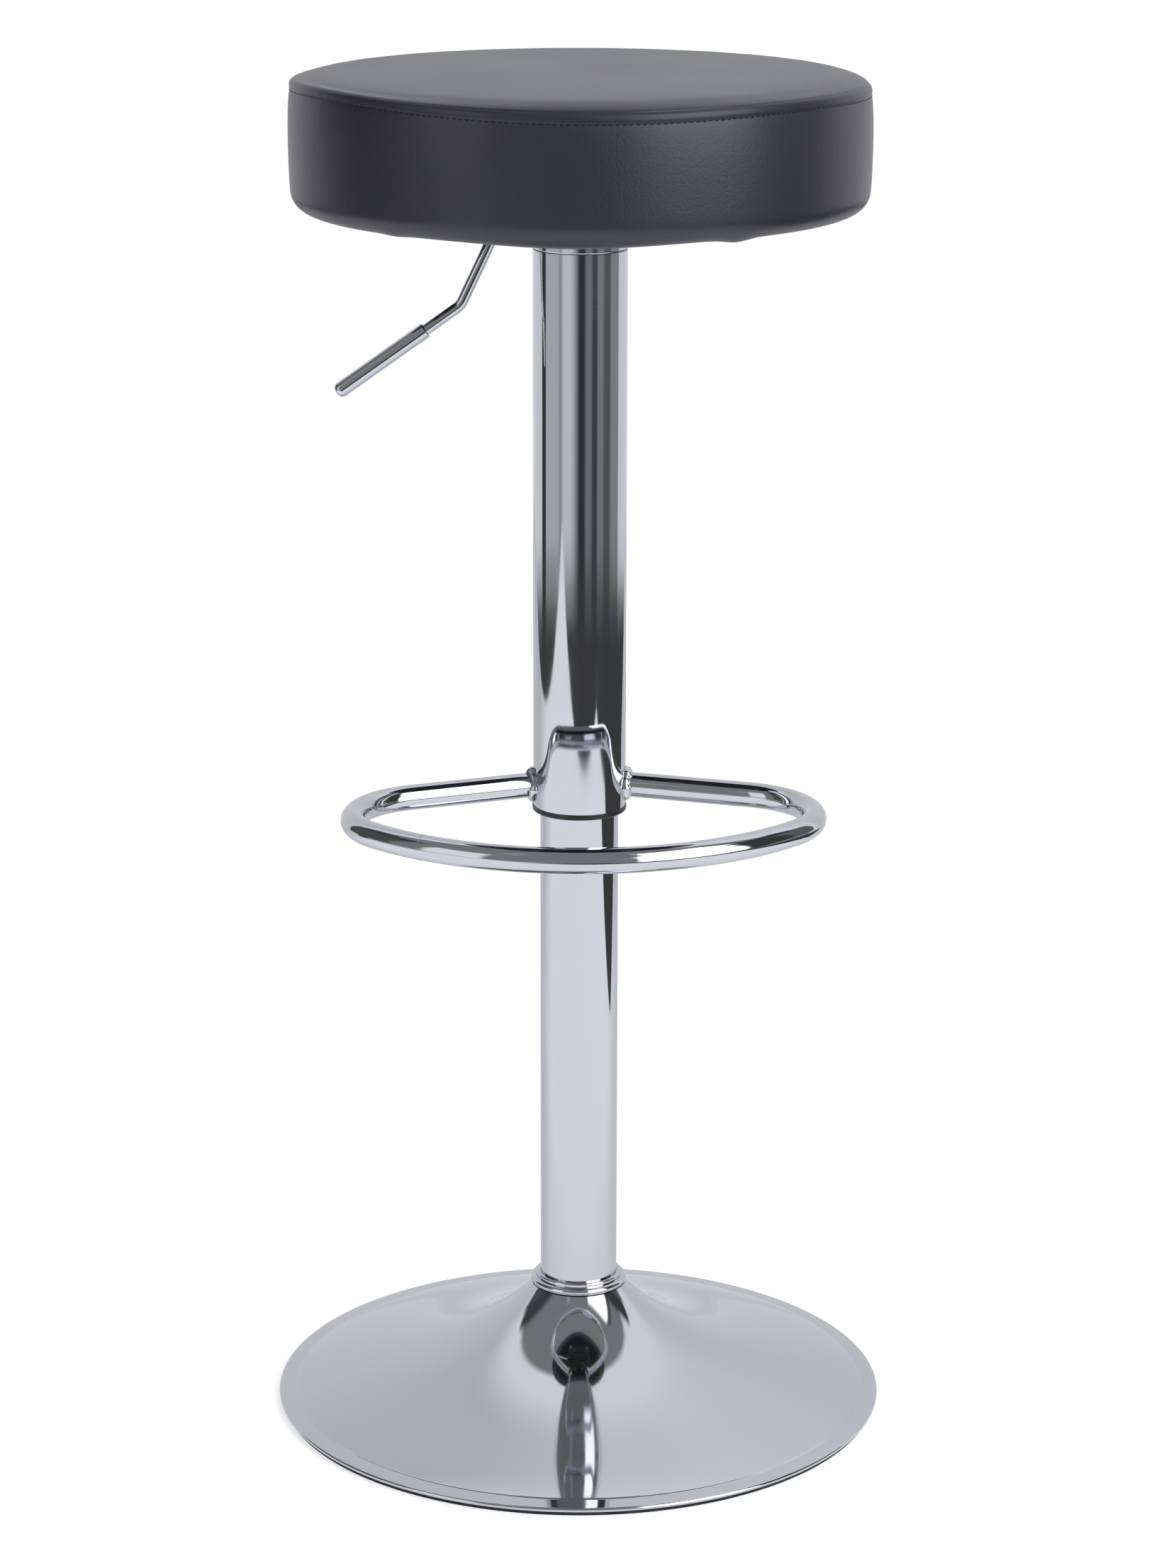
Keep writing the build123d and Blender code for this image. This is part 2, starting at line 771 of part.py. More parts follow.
with BuildPart() as lever_grip:
    with BuildSketch(Plane(origin=(grip_start[0], 0, grip_start[1]), z_dir=handle_dir)):
        Circle(grip_radius)
    extrude(amount=grip_length)
    grip_edges = lever_grip.edges().filter_by(GeomType.CIRCLE)
    grip_edges = grip_edges.sort_by(Axis(origin=(0, 0, 0), direction=handle_dir))
    chamfer(grip_edges[0], grip_shoulder)
    fillet(lever_grip.edges().sort_by(Axis(origin=(0, 0, 0), direction=handle_dir))[-1], grip_end)
    with BuildSketch(Plane(origin=(grip_start[0], 0, grip_start[1]), z_dir=handle_dir)):
        Circle(lever_radius)
    extrude(amount=grip_length - grip_cap, mode=Mode.SUBTRACT)

# Seat board with tee nuts let into its top, and the bolts through the seat plate
board_top = deck_height + board_thickness
board_radius = seat_radius - board_inset
nut_barrel = seat_bolt_radius + fit_gap + tee_nut_wall
with BuildPart() as seat_board:
    with BuildSketch(Plane.XY.offset(deck_height)):
        Circle(board_radius)
        with GridLocations(seat_bolt_pitch, seat_bolt_pitch, 2, 2):
            Circle(nut_barrel + fit_gap, mode=Mode.SUBTRACT)
    extrude(amount=board_thickness)
    with BuildSketch(Plane.XY.offset(board_top - tee_nut_sheet)):
        with GridLocations(seat_bolt_pitch, seat_bolt_pitch, 2, 2):
            Circle(tee_nut_flange + fit_gap)
    extrude(amount=tee_nut_sheet, mode=Mode.SUBTRACT)
    fillet(seat_board.edges().group_by(Axis.Z)[0].sort_by(SortBy.RADIUS)[-1], board_round)

with BuildPart() as tee_nuts:
    with BuildSketch(Plane.XY.offset(board_top - tee_nut_sheet)):
        with GridLocations(seat_bolt_pitch, seat_bolt_pitch, 2, 2):
            Circle(tee_nut_flange)
            Circle(seat_bolt_radius + fit_gap, mode=Mode.SUBTRACT)
    extrude(amount=tee_nut_sheet)
    with BuildSketch(Plane.XY.offset(board_top - tee_nut_sheet)):
        with GridLocations(seat_bolt_pitch, seat_bolt_pitch, 2, 2):
            Circle(nut_barrel)
            Circle(seat_bolt_radius + fit_gap, mode=Mode.SUBTRACT)
    extrude(amount=-(board_thickness - 2 * tee_nut_sheet))

with BuildPart() as seat_bolts:
    with BuildSketch(Plane.XY.offset(flange_under)):
        with GridLocations(seat_bolt_pitch, seat_bolt_pitch, 2, 2):
            Circle(seat_bolt_head)
    extrude(amount=-seat_bolt_head_height)
    fillet(seat_bolts.edges().group_by(Axis.Z)[0], seat_bolt_head_height / 2)
    with BuildSketch(Plane.XY.offset(flange_under)):
        with GridLocations(seat_bolt_pitch, seat_bolt_pitch, 2, 2):
            Circle(seat_bolt_radius)
    extrude(amount=plate_sheet + seat_bolt_bite)

# Cushion: crowned top, side drawn in at the seam and hem, cover turned in under the board
seam_height = deck_height + seam_rise
hem_height = deck_height - cover_thickness + hem_bend
foot_radius = seat_radius - hem_inset - hem_bend
cover_lip = board_radius - cover_turn


def cushion_section(inset):
    # Half section of the cushion, drawn in by inset from the outside of its cover.
    crown = (0, deck_height + crown_rise - inset)
    shoulder = (seat_radius - seam_inset - shoulder_width, seam_height + shoulder_rise - inset)
    seam = (seat_radius - seam_inset - inset, seam_height)
    belly = (seat_radius - inset, (seam_height + hem_height) / 2)
    hem = (seat_radius - hem_inset - inset, hem_height)
    foot = (foot_radius, deck_height - cover_thickness + inset)
    with BuildSketch(Plane.XZ) as section:
        with BuildLine():
            top = TangentArc(crown, shoulder, tangent=(1, 0))
            TangentArc(shoulder, seam, tangent=top % 1)
            side = ThreePointArc(seam, belly, hem)
            TangentArc(hem, foot, tangent=side % 1)
            Polyline(foot, (0, foot[1]), crown)
        make_face()
    return section.sketch


with BuildPart() as seat_foam:
    add(cushion_section(cover_thickness))
    revolve(axis=Axis.Z)
    with BuildSketch(Plane.XY.offset(deck_height)):
        Circle(board_radius)
    extrude(amount=board_thickness, mode=Mode.SUBTRACT)

with BuildPart() as seat_cover_top:
    add(cushion_section(0))
    revolve(axis=Axis.Z)
    add(cushion_section(cover_thickness))
    revolve(axis=Axis.Z, mode=Mode.SUBTRACT)
    split(bisect_by=Plane.XY.offset(seam_height), keep=Keep.TOP)

with BuildPart() as seat_cover_band:
    add(cushion_section(0))
    revolve(axis=Axis.Z)
    add(cushion_section(cover_thickness))
    revolve(axis=Axis.Z, mode=Mode.SUBTRACT)
    split(bisect_by=Plane.XY.offset(seam_height), keep=Keep.BOTTOM)
    with BuildSketch(Plane.XY.offset(deck_height - cover_thickness)):
        Circle(cover_lip)
    extrude(amount=cover_thickness, mode=Mode.SUBTRACT)

# Dust cover under the board, cut out round the seat plate
with BuildPart() as dust_cover:
    with BuildSketch(Plane.XY.offset(deck_height - dust_sheet)):
        Circle(cover_lip - slide_gap)
        hole_width = plate_width + 2 * slide_gap
        RectangleRounded(hole_width, hole_width, plate_corner, mode=Mode.SUBTRACT)
    extrude(amount=dust_sheet)

pieces = {
    "base_shell": base_shell,
    "floor_ring": floor_ring,
    "ballast_plate": ballast_plate,
    "column_flange": column_flange,
    "foot_bolts": foot_bolts,
    "lower_column": lower_column,
    "guide_bush": guide_bush,
    "column_collar": column_collar,
    "bearing_lower_race": bearing_lower_race,
    "bearing_balls": bearing_balls,
    "ball_cage": ball_cage,
    "bearing_upper_race": bearing_upper_race,
    "piston_rod": piston_rod,
    "rod_washer": rod_washer,
    "rod_clip": rod_clip,
    "bump_stop": bump_stop,
    "piston": piston,
    "piston_ring": piston_ring,
    "gas_cylinder": gas_cylinder,
    "cylinder_gland": cylinder_gland,
    "rod_seal": rod_seal,
    "valve_button": valve_button,
    "upper_column": upper_column,
    "column_glide": column_glide,
    "column_cap": column_cap,
    "footrest": footrest,
    "seat_socket": seat_socket,
    "seat_plate": seat_plate,
    "lever_bracket": lever_bracket,
    "lever_pin": lever_pin,
    "lever_rod": lever_rod,
    "lever_grip": lever_grip,
    "seat_board": seat_board,
    "tee_nuts": tee_nuts,
    "seat_bolts": seat_bolts,
    "seat_foam": seat_foam,
    "seat_cover_top": seat_cover_top,
    "seat_cover_band": seat_cover_band,
    "dust_cover": dust_cover,
}
for name, piece in pieces.items():
    piece.part.label = name
    export_step(piece.part, f"parts/{name}.step")
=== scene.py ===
import bmesh
import bpy
import json
import math
import random
from mathutils import Matrix, Vector, noise

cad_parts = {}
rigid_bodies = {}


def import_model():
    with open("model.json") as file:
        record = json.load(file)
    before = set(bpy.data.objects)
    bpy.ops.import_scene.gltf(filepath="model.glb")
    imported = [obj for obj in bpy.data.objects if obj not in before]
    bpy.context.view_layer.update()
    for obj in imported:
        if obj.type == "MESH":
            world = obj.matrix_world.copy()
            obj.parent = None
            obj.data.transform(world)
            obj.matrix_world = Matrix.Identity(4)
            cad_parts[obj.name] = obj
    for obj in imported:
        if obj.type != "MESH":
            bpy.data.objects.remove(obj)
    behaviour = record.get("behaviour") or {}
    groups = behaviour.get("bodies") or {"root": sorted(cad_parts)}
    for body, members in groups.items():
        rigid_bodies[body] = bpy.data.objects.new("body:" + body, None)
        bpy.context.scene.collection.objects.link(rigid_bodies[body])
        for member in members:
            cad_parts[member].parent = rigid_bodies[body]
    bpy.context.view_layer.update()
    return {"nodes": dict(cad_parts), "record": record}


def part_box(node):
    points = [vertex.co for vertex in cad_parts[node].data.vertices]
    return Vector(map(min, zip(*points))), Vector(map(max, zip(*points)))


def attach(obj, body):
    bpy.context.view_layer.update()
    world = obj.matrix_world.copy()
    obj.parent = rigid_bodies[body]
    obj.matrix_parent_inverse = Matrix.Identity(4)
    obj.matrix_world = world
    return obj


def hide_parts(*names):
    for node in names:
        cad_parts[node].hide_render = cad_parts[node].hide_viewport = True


for stray in list(bpy.data.objects):  # start from an empty stage
    bpy.data.objects.remove(stray)

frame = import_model()
nodes = frame["nodes"]
print("frame loaded,", len(nodes), "nodes")

scene = bpy.context.scene
scene.view_settings.view_transform = "Standard"


# Helpers

def linear(hexColour):  # sRGB hex to linear
    parts = [int(hexColour[i:i + 2], 16) / 255 for i in (1, 3, 5)]
    return tuple(c / 12.92 if c <= 0.04045 else ((c + 0.055) / 1.055) ** 2.4 for c in parts) + (1.0,)


def perMetre(millimetres):  # texture scale for features this far apart
    return 1000.0 / millimetres


def addNode(tree, kind, sockets=None, **settings):  # a socket takes a value or another node's output
    node = tree.nodes.new(kind)
    for name, value in settings.items():
        setattr(node, name, value)
    for name, value in (sockets or {}).items():
        if isinstance(value, bpy.types.NodeSocket):
            tree.links.new(value, node.inputs[name])
        else:
            node.inputs[name].default_value = value
    return node


def newMaterial(name, sockets):
    material = bpy.data.materials.new(name)
    material.use_nodes = True
    tree = material.node_tree
    shader = tree.nodes["Principled BSDF"]
    for socket, value in sockets.items():
        shader.inputs[socket].default_value = value
    place = addNode(tree, "ShaderNodeTexCoord").outputs["Object"]
    return material, tree, shader, place


def addPiece(name, shape, material, sharpAngle=40):
    bmesh.ops.recalc_face_normals(shape, faces=shape.faces)
    mesh = bpy.data.meshes.new(name)
    shape.to_mesh(mesh)
    shape.free()
    mesh.shade_smooth()
    mesh.set_sharp_from_angle(angle=math.radians(sharpAngle))
    mesh.materials.append(material)
    piece = bpy.data.objects.new(name, mesh)
    scene.collection.objects.link(piece)
    return piece


def fit(piece, body, slot, *replaced):
    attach(piece, body)
    if replaced:
        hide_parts(*replaced)


def spinOutline(outline, segments, closed=False):  # (radius, height) points turned round the column's axis
    shape = bmesh.new()
    corners = [shape.verts.new((radius, 0.0, height)) for radius, height in outline]
    edges = [shape.edges.new(pair) for pair in zip(corners, corners[1:])]
    if closed:
        edges.append(shape.edges.new((corners[-1], corners[0])))
    bmesh.ops.spin(shape, geom=corners + edges, axis=(0, 0, 1), cent=(0, 0, 0), angle=2 * math.pi,
                   steps=segments, use_merge=True)
    bmesh.ops.remove_doubles(shape, verts=shape.verts, dist=1e-6)
    return shape


# Materials

def chromePlatedSteel():
    # nickel and chrome plate buffed to a mirror: cold grey, with faint waves in the tube and wiped smears
    material, tree, shader, place = newMaterial(
        "chromePlatedSteel", {"Base Color": linear("#c6c8ce"), "Metallic": 1.0})
    smears = addNode(tree, "ShaderNodeTexNoise", {"Vector": place, "Scale": perMetre(35), "Detail": 5.0})
    gloss = addNode(tree, "ShaderNodeMapRange", {
        "Value": smears.outputs["Fac"], "From Min": 0.3, "From Max": 0.75, "To Min": 0.025, "To Max": 0.075})
    waves = addNode(tree, "ShaderNodeTexNoise", {"Vector": place, "Scale": perMetre(55), "Detail": 1.0})
    bump = addNode(tree, "ShaderNodeBump", {
        "Height": waves.outputs["Fac"], "Strength": 1.0, "Distance": 0.00008})
    tree.links.new(gloss.outputs["Result"], shader.inputs["Roughness"])
    tree.links.new(bump.outputs["Normal"], shader.inputs["Normal"])
    return material


def polyurethaneLeather():
    # black coated fabric embossed with a fine pebble grain: soft sheen, greyer where the light grazes it
    material, tree, shader, place = newMaterial(
        "polyurethaneLeather", {"Specular IOR Level": 0.6, "IOR": 1.5, "Specular Tint": linear("#f0f0ff"),
                                "Coat Weight": 0.15, "Coat Roughness": 0.35})
    grain = addNode(tree, "ShaderNodeTexVoronoi", {"Vector": place, "Scale": perMetre(1.5)},
                    feature="SMOOTH_F1")
    creases = addNode(tree, "ShaderNodeTexNoise", {"Vector": place, "Scale": perMetre(6), "Detail": 6.0})
    height = addNode(tree, "ShaderNodeMath", {
        0: creases.outputs["Fac"], 1: 0.6, 2: grain.outputs["Distance"]}, operation="MULTIPLY_ADD")
    bump = addNode(tree, "ShaderNodeBump", {
        "Height": height.outputs[0], "Strength": 0.35, "Distance": 0.0002})
    rubbed = addNode(tree, "ShaderNodeTexNoise", {"Vector": place, "Scale": perMetre(90), "Detail": 2.0})
    tone = addNode(tree, "ShaderNodeMix", {
        "Factor": rubbed.outputs["Fac"], "A": linear("#2a2b30"), "B": linear("#303136")}, data_type="RGBA")
    gloss = addNode(tree, "ShaderNodeMapRange", {
        "Value": rubbed.outputs["Fac"], "From Min": 0.3, "From Max": 0.7, "To Min": 0.36, "To Max": 0.39})
    tree.links.new(tone.outputs["Result"], shader.inputs["Base Color"])
    tree.links.new(gloss.outputs["Result"], shader.inputs["Roughness"])
    tree.links.new(bump.outputs["Normal"], shader.inputs["Normal"])
    return material


def plainFinish(name, light, dark, speckle, roughness, metallic=0.0, depth=0.0, detail=3.0):
    # one pigment with its own mottle: two tones, a spread of gloss and a skin of that grit
    material, tree, shader, place = newMaterial(name, {"Metallic": metallic})
    mottle = addNode(tree, "ShaderNodeTexNoise", {
        "Vector": place, "Scale": perMetre(speckle), "Detail": detail})
    tone = addNode(tree, "ShaderNodeMix", {
        "Factor": mottle.outputs["Fac"], "A": linear(dark), "B": linear(light)}, data_type="RGBA")
    gloss = addNode(tree, "ShaderNodeMapRange", {
        "Value": mottle.outputs["Fac"], "From Min": 0.3, "From Max": 0.7,
        "To Min": roughness[0], "To Max": roughness[1]})
    tree.links.new(tone.outputs["Result"], shader.inputs["Base Color"])
    tree.links.new(gloss.outputs["Result"], shader.inputs["Roughness"])
    if depth:
        bump = addNode(tree, "ShaderNodeBump", {
            "Height": mottle.outputs["Fac"], "Strength": 0.6, "Distance": depth})
        tree.links.new(bump.outputs["Normal"], shader.inputs["Normal"])
    return material


def birchPlywood():
    # thin veneers glued crosswise: pale and dark lines along the edge, grain on the faces
    material, tree, shader, place = newMaterial("birchPlywood", {"Roughness": 0.65})
    veneerPair = 2.67  # mm
    plies = addNode(tree, "ShaderNodeTexWave", {
        "Vector": place, "Scale": 2 * math.pi / 20 * perMetre(veneerPair), "Distortion": 0.4},
        bands_direction="Z")
    stretch = addNode(tree, "ShaderNodeMapping", {"Vector": place, "Scale": (1.0, 0.06, 1.0)})
    grain = addNode(tree, "ShaderNodeTexNoise", {
        "Vector": stretch.outputs["Vector"], "Scale": perMetre(2), "Detail": 4.0})
    edge = addNode(tree, "ShaderNodeMix", {
        "Factor": plies.outputs["Fac"], "A": linear("#8a6540"), "B": linear("#c9a777")}, data_type="RGBA")
    tone = addNode(tree, "ShaderNodeMix", {
        "Factor": grain.outputs["Fac"], "A": edge.outputs["Result"], "B": linear("#b08c5c")},
        data_type="RGBA")
    tree.links.new(tone.outputs["Result"], shader.inputs["Base Color"])
    return material


finishes = {
    "chromed_steel": chromePlatedSteel(),
    "black_leather": polyurethaneLeather(),
    "plywood": birchPlywood(),
    # moulded rubber: dull, dusty black
    "black_rubber": plainFinish("mouldedRubber", "#1d1d1e", "#131314", 3, (0.62, 0.8), depth=0.00006),
    # baked powder coat: black with an orange-peel skin
    "black_steel": plainFinish("powderCoatedSteel", "#1c1d1f", "#151617", 1.6, (0.38, 0.5), depth=0.00008),
    # zinc plate: cool light grey metal, clouded
    "bright_steel": plainFinish("zincPlatedSteel", "#c2c3c4", "#9c9da0", 5, (0.24, 0.4), metallic=1.0),
    # moulded acetal: smooth black plastic
    "black_acetal": plainFinish("acetalPlastic", "#18181a", "#111113", 8, (0.3, 0.42)),
    # cut polyurethane foam, inside the cover
    "seat_foam": plainFinish("polyurethaneFoam", "#d9d2b4", "#b8ad88", 1.5, (0.9, 1.0), depth=0.0004),
    # spun-bonded cloth: black fibres pressed flat
    "dust_cloth": plainFinish("spunBondedCloth", "#242426", "#161618", 1.2, (0.8, 0.95), depth=0.0002),
}
thread = plainFinish("polyesterThread", "#141517", "#0a0a0b", 0.8, (0.5, 0.65), depth=0.0001)

slotOf = {part["node"]: part["material_slot"] for part in frame["record"]["subparts"]}
for name, node in nodes.items():
    node.data.materials.clear()
    node.data.materials.append(finishes[slotOf[name]])
print("finishes given to", len(slotOf), "nodes")


# Seat cushion

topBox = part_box("seat_cover_top")
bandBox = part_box("seat_cover_band")
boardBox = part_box("seat_board")
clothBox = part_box("dust_cover")

cushion = {
    "segments": 256,
    "topRings": 28,
    "shoulderSteps": 6,
    "bandRings": 12,
    "hemSteps": 7,
    "slack": 0.0030,  # the top starts this much lower and swells back
    "tuck": 0.0005,  # the side starts this much slimmer
    "shoulderWidth": 0.0120,
    "shoulderRise": 0.0050,  # above the seam
    "strip": 0.0066,  # from the seam to the topstitch
    "seamDepth": 0.0017,
    "stitchDepth": 0.0007,
    "grooveHalf": 0.0010,
    "stripSwell": 0.0004,
    "hemBend": 0.0126,
    "lowerFullness": 0.45,  # the side draws in less below its middle than above it
    "clearance": 0.0001,  # off the board
    "heldHem": 0.6,  # share of the hem's bend above the held part
    "heldBoard": 0.001,  # held up to this far over the board
    "pressure": 4.0,
    "quality": 6,
    "frames": 20,
    "cap": 0.0018,  # farthest that a point moves
    "unevenness": 0.12,  # share of the cloth's own wrinkles that is kept
    "seamRun": [(-62, 0.0060, 28), (48, 0.0030, 22)],  # sewn rows run higher here: bearing, lift, spread
    "puckerDepth": 0.00035,
    "puckerSpacing": 0.007,
    "puckerReach": 0.008,
    # bearing in degrees, depth, half width
    "pleats": [(-3, 0.0026, 0.055), (31, 0.0022, 0.010), (-42, 0.0009, 0.008), (95, 0.0010, 0.009),
               (150, 0.0012, 0.010), (-115, 0.0010, 0.010), (-160, 0.0012, 0.009)],
}
seamHeight = topBox[0].z
stitchHeight = seamHeight - cushion["strip"]
seamRadius = topBox[1].x
seatBottom = bandBox[0].z
turnRadius = clothBox[1].x
hemTop = seatBottom + cushion["hemBend"]


def bandRadius(height):  # the side is fullest halfway down
    middle = (seamHeight + hemTop) / 2
    share = (height - middle) / (seamHeight - middle)
    fullest = bandBox[1].x - cushion["tuck"]
    return fullest - (fullest - seamRadius) * share ** 2 * (1.0 if share > 0 else cushion["lowerFullness"])


def cushionOutline(spec):  # from the middle of the top, round the side and back over the board
    shoulderRadius = seamRadius - spec["shoulderWidth"]
    shoulderHeight = seamHeight + spec["shoulderRise"]
    crown = topBox[1].z - spec["slack"]
    outline = []
    for ring in range(spec["topRings"] + 1):
        share = ring / spec["topRings"]
        outline.append((share * shoulderRadius, crown - (crown - shoulderHeight) * share ** 2))
    for step in range(1, spec["shoulderSteps"]):
        turn = math.pi / 2 * step / spec["shoulderSteps"]
        outline.append((shoulderRadius + spec["shoulderWidth"] * math.sin(turn),
                        seamHeight + spec["shoulderRise"] * math.cos(turn)))
    half = spec["grooveHalf"]
    stripMiddle = (seamHeight + stitchHeight) / 2
    outline.append((seamRadius, seamHeight + half / 2))
    outline.append((seamRadius - spec["seamDepth"], seamHeight))
    outline.append((bandRadius(seamHeight - half), seamHeight - half))
    outline.append((bandRadius(stripMiddle) + spec["stripSwell"], stripMiddle))
    outline.append((bandRadius(stitchHeight + half), stitchHeight + half))
    outline.append((bandRadius(stitchHeight) - spec["stitchDepth"], stitchHeight))
    bandTop = stitchHeight - half
    for ring in range(spec["bandRings"] + 1):
        height = bandTop + (hemTop - bandTop) * ring / spec["bandRings"]
        outline.append((bandRadius(height), height))
    footRadius = bandRadius(hemTop) - spec["hemBend"]
    for step in range(1, spec["hemSteps"] + 1):
        turn = math.pi / 2 * step / spec["hemSteps"]
        outline.append((footRadius + spec["hemBend"] * math.cos(turn),
                        hemTop - spec["hemBend"] * math.sin(turn)))
    inner = boardBox[1].x + spec["clearance"]
    outline.append(((footRadius + turnRadius) / 2, seatBottom))
    outline.append((turnRadius, seatBottom))
    outline.append((turnRadius, boardBox[0].z - spec["clearance"]))
    outline.append((inner, boardBox[0].z - spec["clearance"]))
    outline.append((inner, boardBox[1].z + spec["clearance"]))
    outline.append((0.0, boardBox[1].z + spec["clearance"]))
    return outline


def swell(piece, held, spec):  # cloth under pressure, with sewn and stapled lines held
    group = piece.vertex_groups.new(name="held")
    group.add(held, 1.0, "REPLACE")
    cloth = piece.modifiers.new("swell", "CLOTH")
    cloth.settings.use_pressure = True
    cloth.settings.uniform_pressure_force = spec["pressure"]
    cloth.settings.effector_weights.gravity = 0.0
    cloth.settings.vertex_group_mass = "held"
    cloth.settings.quality = spec["quality"]
    cloth.collision_settings.use_collision = False
    for step in range(1, spec["frames"] + 1):
        scene.frame_set(step)
    swollen = piece.evaluated_get(bpy.context.evaluated_depsgraph_get()).data
    moved = [point.co.copy() for point in swollen.vertices]
    piece.modifiers.remove(cloth)
    scene.frame_set(1)
    rings = {}
    for vertex, place in zip(piece.data.vertices, moved):
        start = vertex.co
        ring = rings.setdefault((round(start.xy.length, 5), round(start.z, 5)), [])
        ring.append((vertex, place, place.xy.length - start.xy.length, place.z - start.z))
    for ring in rings.values():  # a taut cover is even all round, so most of the wrinkles go
        outward = sum(row[2] for row in ring) / len(ring)
        upward = sum(row[3] for row in ring) / len(ring)
        for vertex, place, _, _ in ring:
            out = vertex.co.xy.normalized() * outward
            even = Vector((out.x, out.y, upward))
            shift = even + (place - vertex.co - even) * spec["unevenness"]
            if shift.length > 0:
                vertex.co += shift * (spec["cap"] * math.tanh(shift.length / spec["cap"]) / shift.length)
    print("cushion swollen, crown at", round(max(v.co.z for v in piece.data.vertices) * 1000, 2), "mm")


def sewnLift(place, spec):  # how much higher the sewn rows run at this bearing
    bearing = math.degrees(math.atan2(place.x, -place.y))
    return sum(lift * math.exp(-((bearing - middle) / spread) ** 2 / 2)
               for middle, lift, spread in spec["seamRun"])


def gather(piece, spec):  # puckers beside the two sewn rows, and pleats where the cover turns under
    shoulderRadius = seamRadius - spec["shoulderWidth"]
    shoulderTop = max(v.co.z for v in piece.data.vertices if v.co.xy.length > shoulderRadius)
    for vertex in piece.data.vertices:
        place = vertex.co
        radius = math.hypot(place.x, place.y)
        if radius < turnRadius:
            continue
        out = Vector((place.x, place.y, 0.0)) / radius
        over = (place.z - seamHeight) / (shoulderTop - seamHeight)
        under = (stitchHeight - place.z) / (stitchHeight - hemTop)
        lift = sewnLift(place, spec) * max(1 - max(over, under, 0.0), 0.0)
        sewn = min(abs(place.z - seamHeight), abs(place.z - stitchHeight))
        reach = spec["puckerReach"]
        if spec["grooveHalf"] / 3 < sewn < reach and place.z > stitchHeight - reach:
            ripple = noise.noise(out * (seamRadius / spec["puckerSpacing"]))
            vertex.co -= out * spec["puckerDepth"] * abs(ripple) * (1 - sewn / reach)
        if place.z < seatBottom + spec["hemBend"] / 2:
            bearing = math.degrees(math.atan2(place.x, -place.y))
            for middle, depth, half in spec["pleats"]:
                away = math.radians((bearing - middle + 180) % 360 - 180) * radius / half
                across = (radius - turnRadius) / (seamRadius - turnRadius)
                vertex.co.z -= depth * math.exp(-away * away) * math.sin(math.pi * min(max(across, 0.0), 1.0))
        vertex.co.z += lift


seatCushion = addPiece("seatCushion", spinOutline(cushionOutline(cushion), cushion["segments"]),
                       finishes["black_leather"], sharpAngle=180)
sewnHeights = (seamHeight, stitchHeight)
heldPoints = []
for vertex in seatCushion.data.vertices:
    radius = math.hypot(vertex.co.x, vertex.co.y)
    sewnHere = radius > turnRadius and min(abs(vertex.co.z - h) for h in sewnHeights) < 1e-5
    heldLow = vertex.co.z < hemTop - cushion["hemBend"] * cushion["heldHem"]
    if sewnHere or heldLow or vertex.co.z <= boardBox[1].z + cushion["heldBoard"]:
        heldPoints.append(vertex.index)
swell(seatCushion, heldPoints, cushion)
gather(seatCushion, cushion)
rounding = seatCushion.modifiers.new("rounding", "SUBSURF")
rounding.levels = 1
rounding.render_levels = 1
fit(seatCushion, "carriage", "black_leather", "seat_foam", "seat_cover_top", "seat_cover_band")


# Topstitch along the strip below the seam

topstitch = {
    "pitch": 0.0040,
    "length": 0.0030,
    "thickness": 0.0007,
    "inset": 0.0004,  # row, in from the side's outline
    "sunk": 0.0003,
}


def stitchRow(spec, radius, height):
    shape = bmesh.new()
    count = round(2 * math.pi * radius / spec["pitch"])
    for number in range(count):
        place = Matrix.Rotation(2 * math.pi * number / count, 4, "Z")
        lift = sewnLift(place @ Vector((radius, 0.0, 0.0)), cushion)
        place @= Matrix.Translation((radius - spec["sunk"], 0.0, height + lift))
        place @= Matrix.Diagonal((spec["thickness"], spec["length"] / 2, spec["thickness"] / 2, 1.0))
        bmesh.ops.create_uvsphere(shape, u_segments=6, v_segments=4, radius=1.0, matrix=place)
    return shape


stitchRadius = bandRadius(stitchHeight) - topstitch["inset"]
seatTopstitch = addPiece("seatTopstitch", stitchRow(topstitch, stitchRadius, stitchHeight), thread)
fit(seatTopstitch, "carriage", "black_leather")
print("seat cover sewn")


# Trumpet base, spun from sheet

base = {
    "radius": 0.198,
    "flareRise": 0.0416,  # how far the flare lifts the neck above the plain slope
    "flareLength": 0.045,  # the flare dies away over this radius
    "neckRadius": 0.0306,
    "crown": 0.12,  # steepness gained where the sheet rolls over towards the rim
    "crownStart": 0.130,
    "brimWidth": 0.0106,
    "brimSlope": 5,  # degrees
    "brimEase": 0.0015,  # bend where the step runs out into the brim
    "stepPitch": 40,  # degrees, of the step down to the brim
    "stepEase": 0.0008,  # inside of the bend above the step
    "hemGap": 0.0006,  # between the brim and the flange folded under it
    "lip": 0.010,  # width of that flange
    "sheet": 0.0012,
    "segments": 256,
    "flareSteps": 44,
    "flareCrowding": 1.4,  # closer steps at the neck
    "bendSteps": 8,
    "meetRounds": 12,
}


def arc(centre, radius, start, stop, steps):  # angles from straight up, in radians
    turns = [start + (stop - start) * step / steps for step in range(steps + 1)]
    return [(centre[0] + radius * math.sin(turn), centre[1] + radius * math.cos(turn)) for turn in turns]


